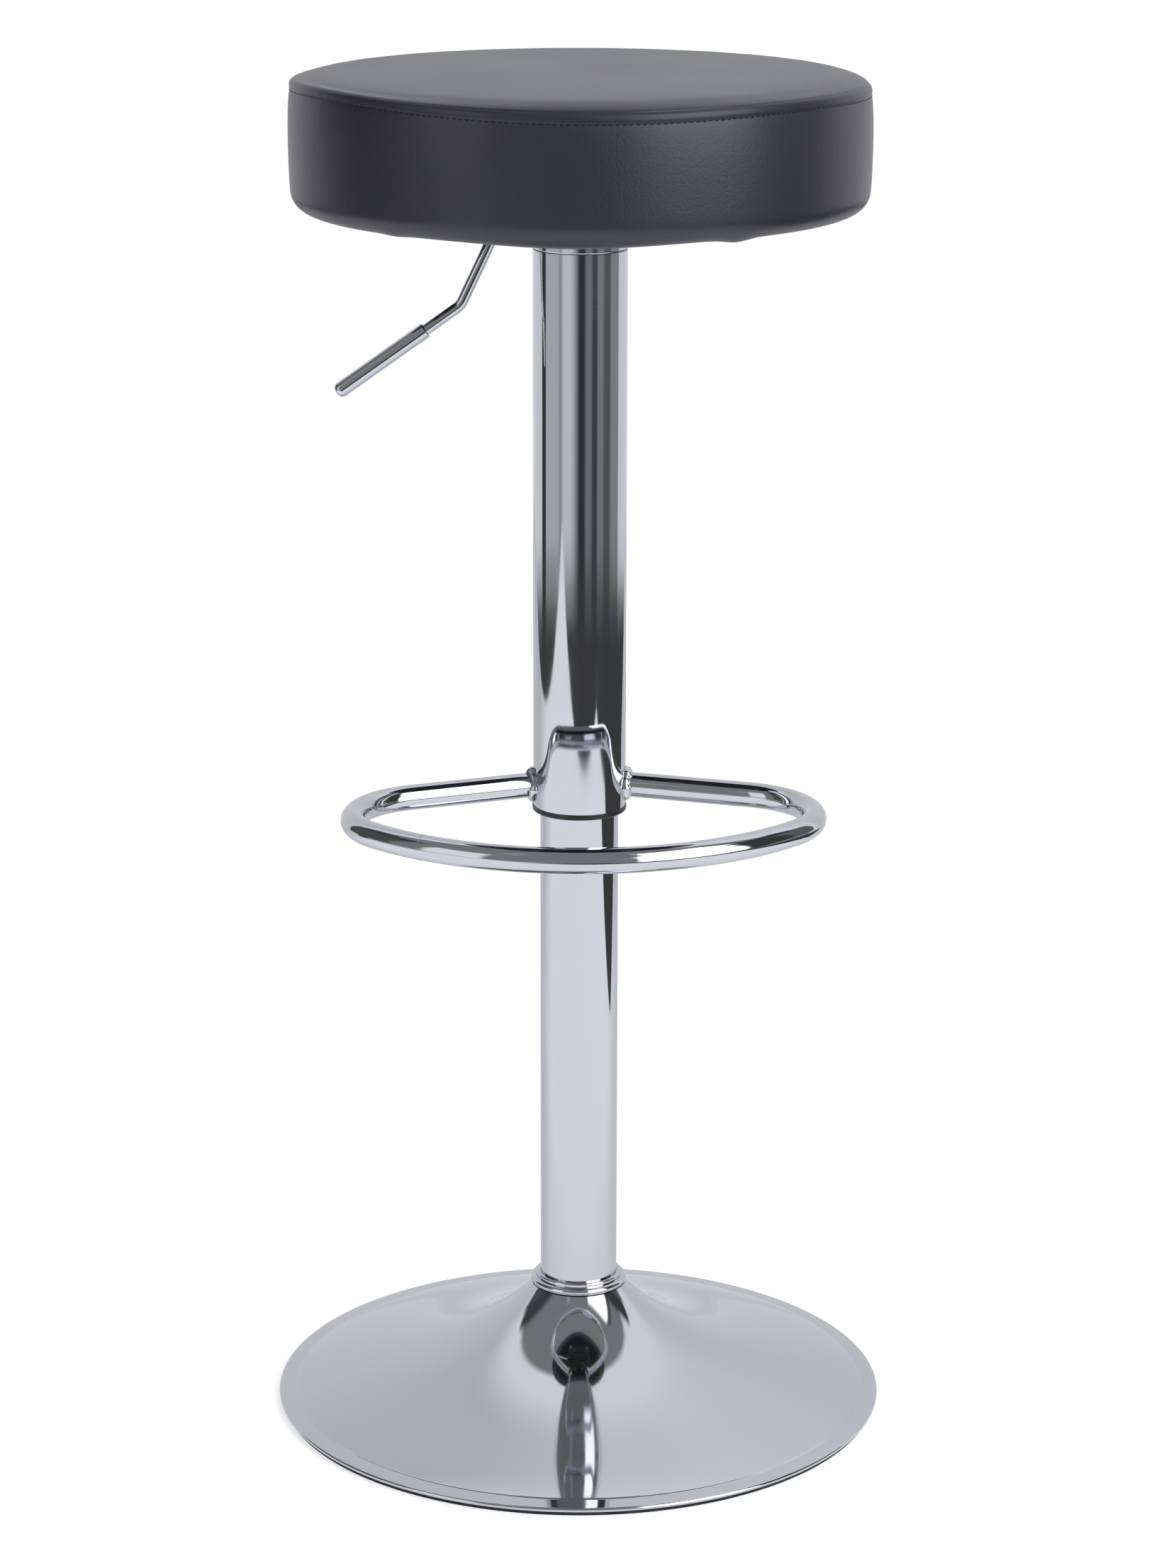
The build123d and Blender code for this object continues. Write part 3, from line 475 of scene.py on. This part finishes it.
def baseOutline(spec, inset):  # one face of the sheet, from the neck down to the lip
    foot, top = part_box("base_shell")[0].z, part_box("base_shell")[1].z
    pitch, brim = math.radians(spec["stepPitch"]), math.radians(spec["brimSlope"])
    neck, length, ease = spec["neckRadius"], spec["flareLength"], spec["brimEase"]
    hem, step = spec["sheet"] + spec["hemGap"] / 2, spec["sheet"] + spec["stepEase"]
    rimCentre = (spec["radius"] - hem, foot + hem)
    rimEdge = arc(rimCentre, hem, brim, brim, 1)[0]
    brimRoot = spec["radius"] - spec["brimWidth"]
    brimHeight = rimEdge[1] + (rimEdge[0] - brimRoot) * math.tan(brim)
    brimCentre = arc((brimRoot, brimHeight), ease, brim, brim, 1)[0]
    stepCentre = arc(brimCentre, -ease - step, pitch, pitch, 1)[0]
    edge, turn, slope = brimRoot, 0.0, 0.0

    def steepness(radius):
        rolled = max(0.0, radius - spec["crownStart"]) / (edge - spec["crownStart"])
        flared = spec["flareRise"] / length * math.exp((neck - radius) / length)
        return slope + flared + spec["crown"] * rolled ** 2

    def fallen(radius):
        roll = edge - spec["crownStart"]
        rolled = max(0.0, radius - spec["crownStart"]) / roll
        flared = spec["flareRise"] * (1 - math.exp((neck - radius) / length))
        return (radius - neck) * slope + flared + spec["crown"] * roll / 3 * rolled ** 3

    for _ in range(spec["meetRounds"]):  # where slope and step meet at one steepness
        edge, edgeHeight = arc(stepCentre, step, turn, turn, 1)[0]
        slope += (top - edgeHeight - fallen(edge)) / (edge - neck)
        turn = math.atan(steepness(edge))
    outline = []
    for number in range(spec["flareSteps"]):
        radius = neck + (edge - neck) * (number / spec["flareSteps"]) ** spec["flareCrowding"]
        lean = math.atan(steepness(radius))
        outline.append((radius - inset * math.sin(lean), top - fallen(radius) - inset * math.cos(lean)))
    outline += arc(stepCentre, step - inset, turn, pitch, spec["bendSteps"])
    outline += arc(brimCentre, -ease - inset, pitch, brim, spec["bendSteps"])[1:]
    outline += arc(rimCentre, hem - inset, brim, math.pi, 2 * spec["bendSteps"])
    return outline + [(spec["radius"] - spec["lip"], foot + inset)]


baseSection = baseOutline(base, 0.0) + baseOutline(base, base["sheet"])[::-1]
baseShell = addPiece("baseShell", spinOutline(baseSection, base["segments"], closed=True),
                     finishes["chromed_steel"])
fit(baseShell, "base", "chromed_steel", "base_shell")
print("base spun")


# Footrest bar, with its welds

footrest = {
    "bar": 0.008,  # radius
    "front": 0.1728,  # centre line of the bow, from the column's axis
    "corner": 0.054,
    "sweep": 20,  # degrees that the arms point forward
    "root": 0.0295,  # outside of the column
    "cut": 0.0282,  # arms end inside the column's wall
    "segments": 48,
    "armSteps": 6,
    "cornerSteps": 40,
    "bowSteps": 48,
}
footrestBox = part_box("footrest")
footrestHeight = (footrestBox[0].z + footrestBox[1].z) / 2
armWay = Vector((math.cos(math.radians(footrest["sweep"])), -math.sin(math.radians(footrest["sweep"])), 0.0))
armRoot = Vector((footrest["root"], 0.0, footrestHeight))


def footrestBar(spec):  # right half, then mirrored
    flatRoot = armRoot.xy.to_3d()
    armSide = Vector((armWay.y, -armWay.x, 0.0))
    cornerShift = flatRoot + armSide * spec["corner"]
    along = cornerShift.dot(armWay)
    reach = math.sqrt(along ** 2 - cornerShift.length_squared + (spec["front"] - spec["corner"]) ** 2) - along
    cornerCentre = cornerShift + armWay * reach
    bowTurn = math.atan2(cornerCentre.x, -cornerCentre.y)
    cornerTurn = math.pi - math.radians(spec["sweep"]) - bowTurn
    start = armRoot - armWay * spec["root"] / 2
    shape = bmesh.new()
    place = Matrix.Translation(start) @ armWay.to_track_quat("Z", "Y").to_matrix().to_4x4()
    bmesh.ops.create_circle(shape, segments=spec["segments"], radius=spec["bar"], matrix=place)
    ring = list(shape.edges)
    step = armWay * (reach + spec["root"] / 2) / spec["armSteps"]
    runs = [((0, 0, 0), 0.0, spec["armSteps"], step),
            (cornerCentre, -cornerTurn, spec["cornerSteps"], (0, 0, 0)),
            ((0, 0, 0), -bowTurn, spec["bowSteps"], (0, 0, 0))]
    for centre, turn, steps, shift in runs:
        spun = bmesh.ops.spin(shape, geom=ring, cent=centre, axis=(0, 0, 1), angle=turn, steps=steps,
                              dvec=shift)
        ring = [part for part in spun["geom_last"] if isinstance(part, bmesh.types.BMEdge)]
    bmesh.ops.bisect_plane(shape, geom=shape.verts[:] + shape.edges[:] + shape.faces[:],
                           plane_co=(spec["cut"], 0, 0), plane_no=(1, 0, 0))
    behind = [v for v in shape.verts if v.co.x < spec["cut"] - 1e-6 and v.co.y > -spec["front"] / 2]
    bmesh.ops.delete(shape, geom=behind, context="VERTS")
    bmesh.ops.mirror(shape, geom=shape.verts[:] + shape.edges[:] + shape.faces[:], axis="X", merge_dist=1e-5)
    bmesh.ops.remove_doubles(shape, verts=shape.verts, dist=1e-6)
    bmesh.ops.holes_fill(shape, edges=[edge for edge in shape.edges if edge.is_boundary], sides=0)
    return shape


barPiece = addPiece("footrestBar", footrestBar(footrest), finishes["chromed_steel"])
fit(barPiece, "carriage", "chromed_steel", "footrest")

welds = {
    "points": 24,
    "bead": 0.0033,  # radius
    "lumps": 0.42,
    "stray": 0.0008,
    "seed": 7,
    "jointBearing": -35,  # butt joint of the bow, in degrees from the front
    "jointProud": 0.00018,
    "jointWidth": 0.0009,
}


def beadRing(places, radii, bevel):  # one closed bead along these places, as a mesh
    curve = bpy.data.curves.new("bead", "CURVE")
    curve.dimensions = "3D"
    curve.bevel_depth = bevel
    curve.bevel_resolution = 3
    curve.resolution_u = 3
    spline = curve.splines.new("NURBS")
    spline.points.add(len(places) - 1)
    for point, place, radius in zip(spline.points, places, radii):
        point.co = (*place, 1.0)
        point.radius = radius
    spline.use_cyclic_u = True
    spline.order_u = 3
    holder = bpy.data.objects.new("bead", curve)
    mesh = bpy.data.meshes.new_from_object(holder)
    bpy.data.objects.remove(holder)
    bpy.data.curves.remove(curve)
    return mesh


def footrestWelds(spec):
    shape = bmesh.new()
    chance = random.Random(spec["seed"])
    for side in (-1, 1):
        way = Vector((armWay.x * side, armWay.y, 0.0))
        root = Vector((armRoot.x * side, 0.0, footrestHeight))
        across = Vector((-way.y, way.x, 0.0))
        places, radii = [], []
        for number in range(spec["points"]):
            turn = 2 * math.pi * number / spec["points"]
            place = root + (across * math.cos(turn) + Vector((0, 0, 1)) * math.sin(turn)) * footrest["bar"]
            for _ in range(4):  # slide along the arm until it is on the column
                gap = place.xy.length - footrest["root"]
                place -= way * gap / abs(way.dot(place.xy.normalized().to_3d()))
            stray = Vector((0, 0, chance.uniform(-1, 1))) * spec["stray"]
            places.append(place + way * chance.uniform(0.0, spec["stray"]) + stray)
            radii.append(1.0 + spec["lumps"] * chance.uniform(-1, 1))
        shape.from_mesh(beadRing(places, radii, spec["bead"]))
    bearing = math.radians(spec["jointBearing"])
    out = Vector((math.sin(bearing), -math.cos(bearing), 0.0))
    joint = []
    for number in range(spec["points"]):
        turn = 2 * math.pi * number / spec["points"]
        ring = out * math.cos(turn) + Vector((0, 0, 1)) * math.sin(turn)
        joint.append(Vector((0, 0, footrestHeight)) + out * footrest["front"]
                     + ring * (footrest["bar"] + spec["jointProud"] - spec["jointWidth"] / 2))
    shape.from_mesh(beadRing(joint, [1.0] * len(joint), spec["jointWidth"] / 2))
    return shape


weldPiece = addPiece("footrestWelds", footrestWelds(welds), finishes["chromed_steel"], sharpAngle=180)
fit(weldPiece, "carriage", "chromed_steel")
print("footrest bent and welded")


# Under the seat: dust cloth, staples, bolts

dust = {
    "segments": 256,
    "rings": 14,
    "thickness": 0.0005,
    "sag": 0.0009,
    "crease": 0.00035,
    "creaseSpacing": 0.020,
    "edge": 0.0003,  # clear of the plate
    "corner": 0.014,  # of the plate and the opening round it
}
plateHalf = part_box("seat_plate")[1].x
holeHalf = plateHalf + dust["edge"]


def openingEdge(place, corner):  # where the way from the axis to this place crosses the opening's edge
    place = place.xy * (holeHalf / max(abs(place.x), abs(place.y)))
    straight = holeHalf - corner
    past = Vector((abs(place.x) - straight, abs(place.y) - straight))
    if min(past) > 0:
        past = past.normalized() * corner
        place = Vector((math.copysign(straight + past.x, place.x),
                        math.copysign(straight + past.y, place.y)))
    return place


def dustCloth(spec):  # ring of cloth from the plate's edge out to the turned-in cover
    shape = bmesh.new()
    bmesh.ops.create_circle(shape, segments=spec["segments"], radius=turnRadius)
    hole = bmesh.ops.create_circle(shape, segments=spec["segments"], radius=holeHalf)["verts"]
    for vertex in hole:
        vertex.co = openingEdge(vertex.co, spec["corner"]).to_3d()
    loops = set(shape.edges)
    bmesh.ops.bridge_loops(shape, edges=shape.edges[:])
    bmesh.ops.subdivide_edges(shape, edges=[edge for edge in shape.edges if edge not in loops],
                              cuts=spec["rings"], use_grid_fill=True)
    middle = (clothBox[0].z + clothBox[1].z) / 2
    for vertex in shape.verts:
        radius = vertex.co.length
        inner = openingEdge(vertex.co, spec["corner"]).length
        share = (radius - inner) / (turnRadius - inner)
        slack = math.sin(math.pi * min(max(share, 0.0), 1.0))
        crease = noise.noise(vertex.co / spec["creaseSpacing"])
        vertex.co.z = middle - slack * (spec["sag"] + spec["crease"] * crease)
    return shape


clothPiece = addPiece("dustCloth", dustCloth(dust), finishes["dust_cloth"], sharpAngle=180)
body = clothPiece.modifiers.new("body", "SOLIDIFY")
body.thickness = dust["thickness"]
body.offset = 0.0
fit(clothPiece, "carriage", "dust_cloth", "dust_cover")

staples = {
    "crown": 0.0100,
    "wire": 0.0012,
    "proud": 0.0005,
    "bevel": 0.00025,
    "rows": [(0.1570, 44, 0.0), (0.1435, 36, 2.5)],  # radius, count, first bearing in degrees
    "slew": 9,  # degrees
}


def stapleRow(spec, radius, count, first, surface):
    shape = bmesh.new()
    chance = random.Random(count)
    for number in range(count):
        place = Matrix.Rotation(math.radians(first) + 2 * math.pi * number / count, 4, "Z")
        place @= Matrix.Translation((radius + chance.uniform(-1, 1) * spec["wire"], 0.0, surface))
        place @= Matrix.Rotation(math.radians(chance.uniform(-1, 1) * spec["slew"]), 4, "Z")
        place @= Matrix.Diagonal((spec["wire"], spec["crown"], 2 * spec["proud"], 1.0))
        bmesh.ops.create_cube(shape, size=1.0, matrix=place)
    bmesh.ops.bevel(shape, geom=shape.edges[:], offset=spec["bevel"], offset_type="OFFSET",
                    affect="EDGES", segments=1, profile=0.5, material=-1)
    return shape


hemRow, clothRow = staples["rows"]
hemStaples = addPiece("hemStaples", stapleRow(staples, *hemRow, seatBottom), finishes["bright_steel"])
fit(hemStaples, "carriage", "bright_steel")
clothStaples = addPiece("clothStaples", stapleRow(staples, *clothRow, clothBox[0].z),
                        finishes["bright_steel"])
fit(clothStaples, "carriage", "bright_steel")

seatBolt = {
    "spread": 0.070,  # from the axis, both ways
    "segments": 24,
    "head": 0.0060,
    "headHeight": 0.0040,
    "round": 0.0020,
    "roundSteps": 4,
    "shank": 0.0030,
    "key": 0.0040,  # across the flats of the socket
    "socketInset": 0.25,  # share of the key, before the hexagon is set
    "socketDepth": 0.0022,
}
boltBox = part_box("seat_bolts")
plateUnder = boltBox[0].z + seatBolt["headHeight"]


def socketBolts(spec):  # button heads that face down, with a hexagon socket
    shape = bmesh.new()
    height = plateUnder - boltBox[0].z
    shank = boltBox[1].z - plateUnder
    for x in (-spec["spread"], spec["spread"]):
        for y in (-spec["spread"], spec["spread"]):
            axis = Vector((x, y))
            head = bmesh.ops.create_cone(
                shape, segments=spec["segments"], radius1=spec["head"], radius2=spec["head"], depth=height,
                cap_ends=True, matrix=Matrix.Translation((x, y, plateUnder - height / 2)))["verts"]
            crown = [face for face in shape.faces
                     if all(v in head for v in face.verts) and face.normal.z < -0.9][0]
            bmesh.ops.bevel(shape, geom=crown.edges[:], offset=spec["round"], offset_type="OFFSET",
                            affect="EDGES", segments=spec["roundSteps"], profile=0.5, material=-1)
            onAxis = [face for face in shape.faces if (face.calc_center_median().xy - axis).length < 1e-4]
            crown = min(onAxis, key=lambda face: face.calc_center_median().z)
            bmesh.ops.inset_region(shape, faces=[crown], thickness=spec["key"] * spec["socketInset"])
            for vertex in crown.verts:
                away = vertex.co.xy - axis
                corner = (math.atan2(away.y, away.x) + math.pi / 6) % (math.pi / 3) - math.pi / 6
                away = away.normalized() * spec["key"] / 2 / math.cos(corner)
                vertex.co.x, vertex.co.y = x + away.x, y + away.y
            well = bmesh.ops.extrude_discrete_faces(shape, faces=[crown])["faces"][0]
            bmesh.ops.translate(shape, verts=well.verts[:], vec=(0, 0, spec["socketDepth"]))
            bmesh.ops.create_cone(
                shape, segments=spec["segments"], radius1=spec["shank"], radius2=spec["shank"], depth=shank,
                cap_ends=True, matrix=Matrix.Translation((x, y, plateUnder + shank / 2)))
    return shape


boltPiece = addPiece("seatBolts", socketBolts(seatBolt), finishes["bright_steel"])
fit(boltPiece, "carriage", "bright_steel", "seat_bolts")
print("underside closed")


# Studio: pale floor, light tent, camera

studio = {
    "floorFront": [(-2.05, -1.98), (-0.60, -1.75), (1.21, -1.44)],  # slanted, as the columns mirror it
    "floorBack": [(1.7, 2.6), (-1.7, 2.6)],
    "notch": [(1.40, -0.70), (0.78, 0.20), (1.40, 1.00)],  # dark gap that the lower column mirrors
    "floorGlow": 0.60,
    "floorFar": 0.20,  # glow far behind, for what is mirrored
    "floorPaintedShadowCentre": (0.0, 0.35, 0.0),  # painted shadow in the mirrored glow, deepest here, close behind the stool
    "floorPaintedShadowLevel": 0.48,  # share of the glow that is left in that painted shadow
    "floorPaintedShadowReach": (0.2, 0.7),  # metres from there, over which the painted shadow fades out
    "floorFade": (0.0, 0.8),  # metres behind the stool's axis
    # bearings from the front in degrees, and brightness, of what stands round the stool
    "lowBands": [(-107, -95, 0.05), (-93, -58, 0.60), (-53, -49, 0.42), (-43, -24, 0.80), (-4, 8, 0.05),
                 (13, 23, 0.24), (30, 38, 0.07), (43, 54, 0.28), (60, 74, 0.13), (80, 104, 0.33)],
    "highBands": [(-124, -84, 0.10), (-80, -68, 0.26), (-65, -42, 1.10), (-39, 20, 0.28), (24, 66, 3.00),
                  (69, 90, 0.06), (93, 113, 0.16)],
    "midBands": [(-122, -84, 0.07), (-80, 24, 0.27), (28, 70, 2.80), (73, 111, 0.06)],
    "topBands": [(-41, -33, 0.45), (-30, 29, 0.27), (33, 78, 2.80), (81, 86, 0.12)],
    "bandEdge": 1.5,  # degrees over which the outermost bands fade
    "bandBlue": 1.03,
    "lowPaper": "#f0f0f6",  # paper behind, near the horizon
    "boxTop": (33, 38),  # degrees up, where the left soft box ends
    "midTop": (44, 51),  # the dark side walls
    "roofEdge": (60, 65),  # the right soft box
    "roof": 0.27,
    "roofBack": (-0.27, -0.21),  # how far the ceiling reaches past the zenith
    "roofSkew": -0.16,
    "sweep": {"foot": 0.80, "left": 0.71, "right": 0.94, "lamp": 1.05},  # paper behind, and the lamp over it
    "sweepTint": "#fafbff",
    "sweepTurn": (-0.25, 0.25),  # from its left side to its right
    "sweepRise": (0.3, 0.8),  # from its foot to its upper part
    "lampEdge": (-0.62, -0.40),
    "deepGrey": "#484848",
    "deep": (-13.4, -12.0),  # what shows through the gap in the floor is below this
    "horizon": (-8, -5),
}


def paperFloor():
    # matt white paper sweep: glows white to the camera and keeps the soft shadow; the glow that reflections
    # see has a painted shadow close behind the stool and fades further back
    material, tree, shader, place = newMaterial(
        "paperSweep", {"Base Color": linear("#dadbdf"), "Roughness": 0.9, "Specular IOR Level": 0.1})
    path = addNode(tree, "ShaderNodeLightPath")
    depth = addNode(tree, "ShaderNodeSeparateXYZ", {0: place}).outputs["Y"]
    # painted shadow: the glow that reflections see is dimmed close behind the stool, as if the stool shaded
    # the floor there
    away = addNode(tree, "ShaderNodeVectorMath", {0: place, 1: studio["floorPaintedShadowCentre"]}, operation="DISTANCE")
    paintedShadow = addNode(tree, "ShaderNodeMapRange", {
        "Value": away.outputs["Value"], "From Min": studio["floorPaintedShadowReach"][0],
        "From Max": studio["floorPaintedShadowReach"][1], "To Min": studio["floorPaintedShadowLevel"]})
    along = addNode(tree, "ShaderNodeMapRange", {
        "Value": depth, "From Min": studio["floorFade"][0], "From Max": studio["floorFade"][1],
        "To Min": studio["floorGlow"], "To Max": studio["floorFar"]})
    mirrored = addNode(tree, "ShaderNodeMath", {
        0: along.outputs["Result"], 1: paintedShadow.outputs["Result"]}, operation="MULTIPLY")
    seen = addNode(tree, "ShaderNodeMath", {
        0: path.outputs["Is Camera Ray"], 1: studio["floorGlow"]}, operation="MULTIPLY")
    glow = addNode(tree, "ShaderNodeMath", {
        0: path.outputs["Is Glossy Ray"], 1: mirrored.outputs[0], 2: seen.outputs[0]},
        operation="MULTIPLY_ADD")
    shader.inputs["Emission Color"].default_value = linear("#ffffff")
    tree.links.new(glow.outputs[0], shader.inputs["Emission Strength"])
    back = addNode(tree, "ShaderNodeNewGeometry").outputs["Backfacing"]
    clear = addNode(tree, "ShaderNodeBsdfTransparent")
    oneSided = addNode(tree, "ShaderNodeMixShader", {
        0: back, 1: shader.outputs["BSDF"], 2: clear.outputs["BSDF"]})
    tree.links.new(oneSided.outputs["Shader"], tree.nodes["Material Output"].inputs["Surface"])
    return material


floorShape = bmesh.new()
floorEdge = studio["floorFront"] + studio["notch"] + studio["floorBack"]
floorShape.faces.new([floorShape.verts.new((x, y, 0.0)) for x, y in floorEdge])
floor = addPiece("floor", floorShape, paperFloor())
if floor.data.polygons[0].normal.z < 0:
    floor.data.flip_normals()


def bearingRamp(tree, share, bands):  # these bands, and clear between the last and the first
    ramp = addNode(tree, "ShaderNodeValToRGB", {"Fac": share})
    stops = ramp.color_ramp.elements
    stops.remove(stops[1])
    stops[0].position = 0.0
    edge = studio["bandEdge"]
    levels = [(bands[0][0] - edge, bands[0][2], 0.0), (bands[-1][1] + edge, bands[-1][2], 0.0)]
    for start, stop, level in bands:
        levels += [(start, level, 1.0), (stop, level, 1.0)]
    for bearing, level, cover in levels:
        stops.new((bearing + 180) / 360).color = (level, level, level * studio["bandBlue"], cover)
    stops[0].color = (1.0, 1.0, 1.0, 0.0)
    return ramp


def fade(tree, value, low, high):
    return addNode(tree, "ShaderNodeMapRange", {"Value": value, "From Min": low, "From Max": high},
                   interpolation_type="SMOOTHSTEP").outputs["Result"]


def blendColour(tree, factor, first, second):
    return addNode(tree, "ShaderNodeMix", {"Factor": factor, "A": first, "B": second},
                   data_type="RGBA").outputs["Result"]


def lightTent():  # white sweep behind, a dim room with two soft boxes in front
    world = bpy.data.worlds.new("lightTent")
    scene.world = world
    world.use_nodes = True
    tree = world.node_tree
    way = addNode(tree, "ShaderNodeTexCoord").outputs["Generated"]
    parts = addNode(tree, "ShaderNodeSeparateXYZ", {0: way})
    up = parts.outputs["Z"]
    side = parts.outputs["X"]
    front = addNode(tree, "ShaderNodeMath", {0: parts.outputs["Y"], 1: -1.0}, operation="MULTIPLY").outputs[0]
    bearing = addNode(tree, "ShaderNodeMath", {0: side, 1: front}, operation="ARCTAN2").outputs[0]
    share = addNode(tree, "ShaderNodeMapRange", {
        "Value": bearing, "From Min": -math.pi, "From Max": math.pi}).outputs["Result"]
    rise = {name: [math.sin(math.radians(angle)) for angle in studio[name]]
            for name in ("deep", "horizon", "boxTop", "midTop", "roofEdge")}
    grey = {name: (level, level, level, 1.0) for name, level in studio["sweep"].items()}
    high = blendColour(tree, fade(tree, side, *studio["sweepTurn"]), grey["left"], grey["right"])
    sweep = blendColour(tree, fade(tree, up, *studio["sweepRise"]), grey["foot"], high)
    sweep = blendColour(tree, fade(tree, front, *studio["lampEdge"]), sweep, grey["lamp"])
    sweep = addNode(tree, "ShaderNodeMix", {"Factor": 1.0, "A": sweep, "B": linear(studio["sweepTint"])},
                    data_type="RGBA", blend_type="MULTIPLY").outputs["Result"]
    skewed = addNode(tree, "ShaderNodeMath", {0: side, 1: studio["roofSkew"], 2: front},
                     operation="MULTIPLY_ADD").outputs[0]
    roof = blendColour(tree, fade(tree, skewed, *studio["roofBack"]), sweep, (studio["roof"],) * 3 + (1.0,))
    room = linear(studio["deepGrey"])
    for name, behind, edge in (
            ("lowBands", linear(studio["lowPaper"]), "deep"), ("highBands", sweep, "horizon"),
            ("midBands", sweep, "boxTop"), ("topBands", roof, "midTop")):
        ramp = bearingRamp(tree, share, studio[name])
        ring = blendColour(tree, ramp.outputs["Alpha"], behind, ramp.outputs["Color"])
        room = blendColour(tree, fade(tree, up, *rise[edge]), room, ring)
    room = blendColour(tree, fade(tree, up, *rise["roofEdge"]), room, roof)
    camera = addNode(tree, "ShaderNodeLightPath").outputs["Is Camera Ray"]
    background = tree.nodes["Background"]
    tree.links.new(blendColour(tree, camera, room, linear("#ffffff")), background.inputs["Color"])
    background.inputs["Strength"].default_value = 1.0


lightTent()

view = {
    "frameWidth": 1659,
    "frameHeight": 2212,
    "focalPixels": 5850.58,
    "axisColumn": 817.35,  # image column of the stool's axis, halfway up
    "distance": 2.552,
    "height": 1.1195,
    "tilt": 15.409,  # degrees down
    "bearing": -2.0,  # degrees to the left of the footrest's front
    "roll": 0.104,
}
lens = bpy.data.cameras.new("view")
lens.sensor_width = 36.0
lens.lens = lens.sensor_width * view["focalPixels"] / view["frameHeight"]
lens.shift_x = (view["frameWidth"] / 2 - view["axisColumn"]) / view["frameHeight"]
camera = bpy.data.objects.new("view", lens)
stand = Matrix.Rotation(math.radians(view["bearing"]), 4, "Z")
stand @= Matrix.Translation((0.0, -view["distance"], view["height"]))
stand @= Matrix.Rotation(math.radians(90 - view["tilt"]), 4, "X")
stand @= Matrix.Rotation(math.radians(view["roll"]), 4, "Z")
camera.matrix_world = stand
scene.collection.objects.link(camera)
scene.camera = camera
print("studio set")
